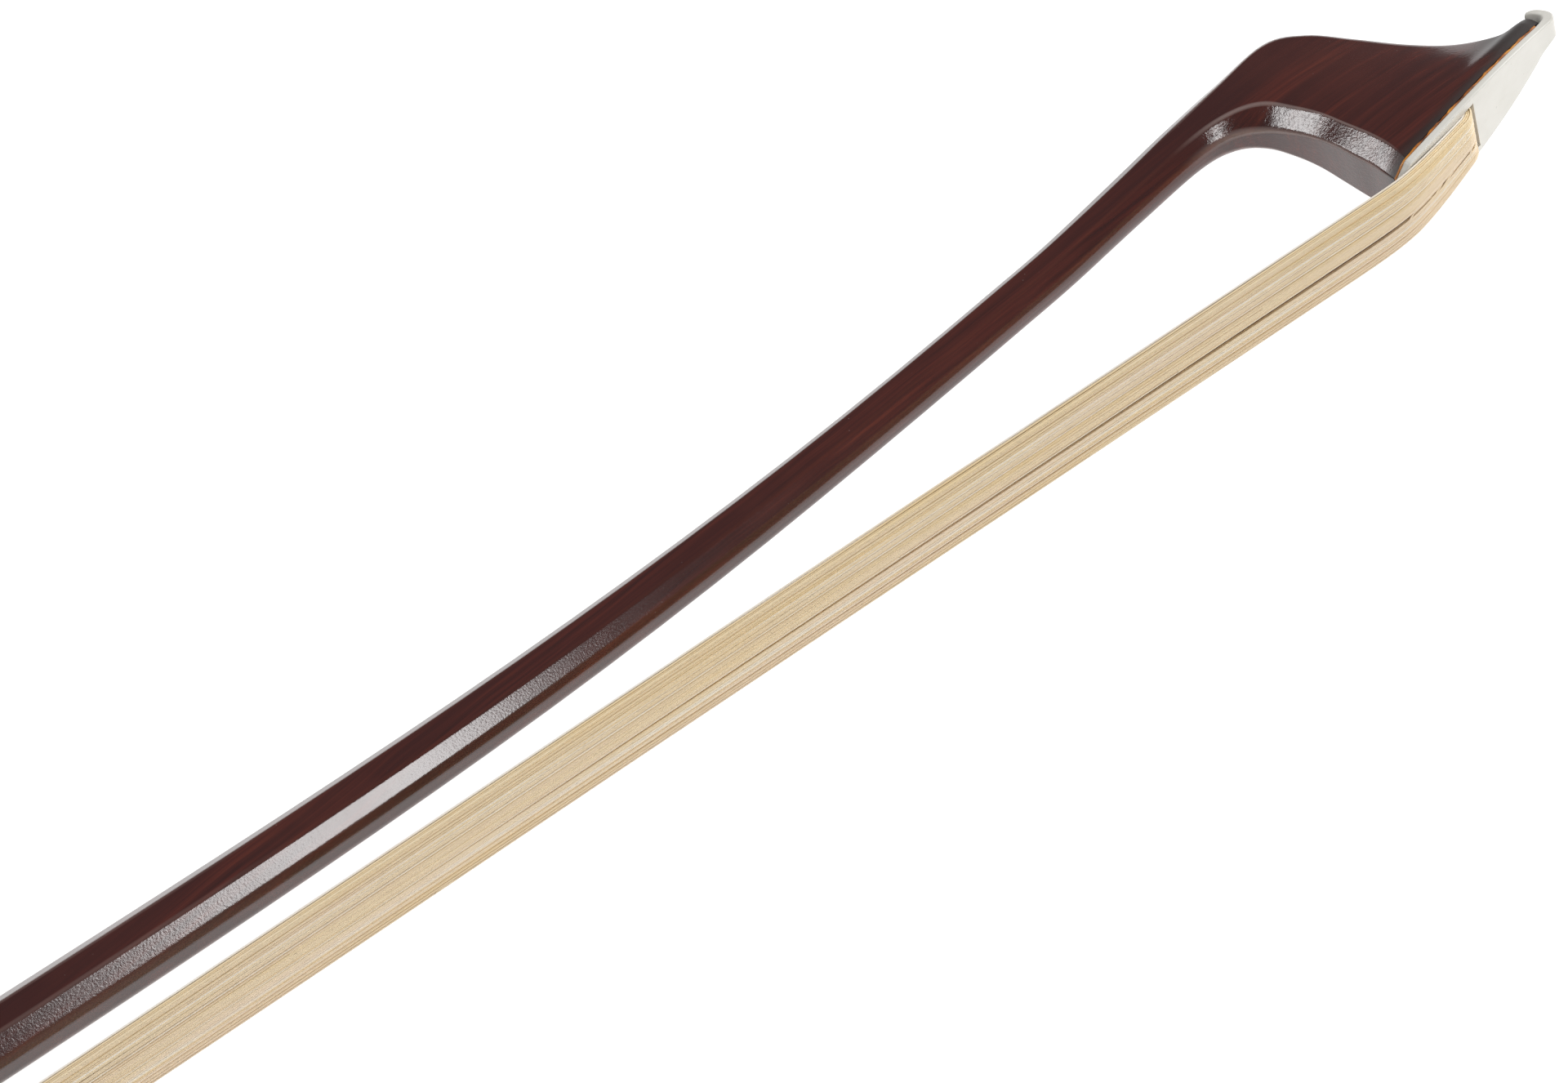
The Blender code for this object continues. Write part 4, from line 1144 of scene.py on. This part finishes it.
def build_grip(finish):
    """The thumb leather: a soft sleeve with a lapped seam on the hair side and rolled ends."""
    rings = []
    count = 96
    steps = 30
    inner = STICK_FLATS_BUTT / 2 + UNDER_WRAP
    for lined in (False, True):
        for step in range(steps + 1):
            share = (steps - step if lined else step) / steps
            x = GRIP_START + (GRIP_END - GRIP_START) * share
            ring = []
            edge = min(share, 1 - share) * (GRIP_END - GRIP_START)
            thick = GRIP_THICKNESS * min(1.0, 0.35 + math.sqrt(max(edge, 0.0) / 1.2))
            thick += 0.05 * math.sin(x * 1.7) * min(1.0, edge / 2)
            for turn_step in range(count):
                turn = 2 * math.pi * turn_step / count
                within = (turn + math.pi / 8) % (math.pi / 4) - math.pi / 8
                flat = inner / math.cos(within)
                if lined:
                    reach = flat
                else:
                    seam = (turn - math.pi * 1.02 + 0.12 * math.sin(x * 0.24)) % (2 * math.pi)
                    lap = 0.22 * math.exp(-seam / 0.5) * min(1.0, edge / 1.0)
                    reach = inner + (flat - inner) * 0.55 + thick + lap
                ring.append(place(x, reach * math.cos(turn), reach * math.sin(turn)))
            rings.append(ring)
    rings.append(rings[0])
    sleeve = lofted("thumb_leather", rings, finish, capped=False)
    work = bmesh.new()
    work.from_mesh(sleeve.data)
    bmesh.ops.remove_doubles(work, verts=work.verts, dist=0.000001)
    bmesh.ops.recalc_face_normals(work, faces=work.faces)
    work.to_mesh(sleeve.data)
    work.free()
    sharpen(sleeve, 50)
    return fit(sleeve, "stick", "grip_leather", "leather_grip")


# ---------------------------------------------------------------- the frog and the button


def ease_rows(rows, body, finishes):
    """Eased pieces of one body: name, CAD node, finish and how wide the easing is."""
    for name, node, finish, width in rows:
        fit(eased_copy(name, node, finishes[finish], width), body, finish, node)


def build_frog(finishes):
    """The frog's body, slide, plates, ferrule, eyes and lining, each with its edges eased."""
    fit(eased_copy("frog_ebony", "frog_body", finishes["ebony"], 0.45, 4), "frog", "ebony", "frog_body")
    rows = [("pearl_slide_sheet", "pearl_slide", "pearl", 0.12),
            ("d_ring_ferrule", "ferrule", "silver", 0.18),
            ("stick_lining", "underslide", "silver", 0.1), ("brass_eyelet", "eyelet", "brass", 0.15),
            ("heel_plate_lower_silver", "heel_plate_lower", "silver", 0.15),
            ("heel_plate_upper_silver", "heel_plate_upper", "silver", 0.15)]
    for side in ("left", "right"):
        rows += [("eye_surround_" + side, "eye_ring_" + side, "silver", 0.12),
                 ("shell_eye_" + side, "pearl_eye_" + side, "pearl", 0.2)]
    ease_rows(rows, "frog", finishes)


def build_button(finishes):
    """The octagonal button: eased silver rings around an ebony core, with a shell eye."""
    rows = (("button_collar", "button_front_ring", "silver", 0.3),
            ("button_ebony", "button_core", "ebony", 0.3),
            ("button_cap", "button_end_ring", "silver", 0.35),
            ("button_shell_eye", "button_pearl_eye", "pearl", 0.25))
    ease_rows(rows, "screw", finishes)


def build_screw(tree, finish):
    """The screw: a plain shank and a cut thread where the eyelet runs."""
    count = 24
    root = SCREW_RADIUS - THREAD_DEPTH
    profile = ((-9.0, 0.9), (-8.7, SCREW_RADIUS), (18.0, SCREW_RADIUS), (18.6, root), (45.0, root),
               (46.0, 0.5))
    turns = [2 * math.pi * step / count for step in range(count)]
    rings = [[place(x, r * math.cos(turn), r * math.sin(turn)) for turn in turns] for x, r in profile]
    shank = lofted("tension_screw", rings, finish)
    thread = coil("thread", tree, {
        "Start": place(19.0, 0.0), "Reach": root * MM, "Pitch": THREAD_PITCH * MM,
        "Steps per Turn": STEPS_PER_TURN, "Steps": int(THREAD_LENGTH / THREAD_PITCH * STEPS_PER_TURN),
        "Flatness": 0.0, "Wire Radius": THREAD_DEPTH * MM, "Wire": finish})
    work = bmesh.new()
    work.from_mesh(shank.data)
    work.from_mesh(thread.data)
    work.to_mesh(shank.data)
    work.free()
    bpy.data.objects.remove(thread, do_unlink=True)
    sharpen(shank, 40)
    return fit(shank, "screw", "steel", "screw")


def finish_inner_pieces(finishes):
    """The pieces that keep their CAD shape."""
    rows = {"plug": ("head_plug", "frog_plug", "spread_wedge"),
            "thread": ("head_hair_knot", "frog_hair_knot"),
            "ebony": ("slide_base",),
            "silver": ("underslide_pin_rear", "underslide_pin_front", "heel_pin_lower_left",
                       "heel_pin_lower_right", "heel_pin_upper_low", "heel_pin_upper_high")}
    for finish, nodes in rows.items():
        for node in nodes:
            assign(node, finishes[finish])


# ---------------------------------------------------------------- floor, light and camera


def stage_floor():
    """A plain pale floor that the bow lies on."""
    made, tree, shader = finish_named("pale_floor", {"Specular IOR Level": 0.1})
    where = piece_place(tree)
    cloud = speckle(tree, where, 3.0, 2.0)
    tree.links.new(ramp(tree, cloud, ((0.3, (0.40, 0.40, 0.40)), (0.7, (0.43, 0.43, 0.43)))),
                   shader.inputs["Base Color"])
    roughen(tree, shader, cloud, 0.3, 0.7, 0.75, 0.85)
    shader.inputs["Emission Color"].default_value = (1.0, 1.0, 1.0, 1.0)
    shader.inputs["Emission Strength"].default_value = FLOOR_GLOW
    far = FLOOR_HALF
    corners = [Vector((x, y, 0.0)) for x, y in ((-far, -far), (far, -far), (far, far), (-far, far))]
    floor = mesh_piece("floor", corners, [[0, 1, 2, 3]], made)


def softbox(name, target, direction, distance, size, radiance):
    """A rectangular soft light that looks at a point of the bow."""
    towards = Vector(direction).normalized()
    lamp = bpy.data.lights.new(name, "AREA")
    lamp.shape = "RECTANGLE"
    lamp.size, lamp.size_y = size
    lamp.energy = radiance * math.pi * size[0] * size[1]
    holder = bpy.data.objects.new(name, lamp)
    bpy.context.collection.objects.link(holder)
    holder.location = place(*target) + towards * distance
    holder.rotation_euler = towards.to_track_quat("Z", "Y").to_euler()


def light_studio():
    """Soft lights on the hair side, over the throat and above the head, in a dim white room."""
    world = bpy.data.worlds.new("pale_room")
    world.use_nodes = True
    world.node_tree.nodes["Background"].inputs["Color"].default_value = (1.0, 1.0, 1.0, 1.0)
    world.node_tree.nodes["Background"].inputs["Strength"].default_value = ROOM_LIGHT
    bpy.context.scene.world = world
    softbox("hair_side_box", (583, 0, 0), (0.12, -0.831, 0.543), 1.0, (0.16, 0.42), 10.5)
    softbox("throat_box", (700, 8, 0), (-0.71, 0.235, 0.665), 1.0, (0.32, 0.25), 10.5)
    softbox("overhead_box", (600, 0, 0), (0.83, 0.12, 0.55), 1.6, (0.8, 0.8), 9.0)
    bpy.context.scene.view_settings.view_transform = "Standard"


def set_camera():
    """A long lens, looking down on the bow's side from the hair side, behind the head."""
    turn = Matrix.Rotation(math.atan(HAIR_SLOPE), 3, "Z")
    right = turn @ Vector((0.822577, -0.53439, -0.194408))
    down = turn @ Vector((-0.547481, -0.651812, -0.524791))
    forward = turn @ Vector((0.153725, 0.538116, -0.828734))
    data = bpy.data.cameras.new("long_lens")
    data.sensor_width = 36.0
    data.lens = CAMERA_LENS
    data.clip_start = 0.01
    camera = bpy.data.objects.new("long_lens", data)
    bpy.context.collection.objects.link(camera)
    facing = Matrix((right, -down, -forward)).transposed().to_4x4()
    facing.translation = place(*head_to_bow(*CAMERA_PLACE))
    camera.matrix_world = facing
    bpy.context.scene.camera = camera


def build_bow():
    """Every piece of the bow."""
    finishes = make_finishes()
    wound = coil_tree()
    build_stick(finishes["wood"])
    build_liner(finishes["amber"])
    build_plate(finishes["ivory"])
    build_hair(finishes["hair"])
    build_winding(wound, finishes["wire"])
    build_grip(finishes["leather"])
    build_frog(finishes)
    build_button(finishes)
    build_screw(wound, finishes["steel"])
    finish_inner_pieces(finishes)


set_camera()
light_studio()
stage_floor()
build_bow()
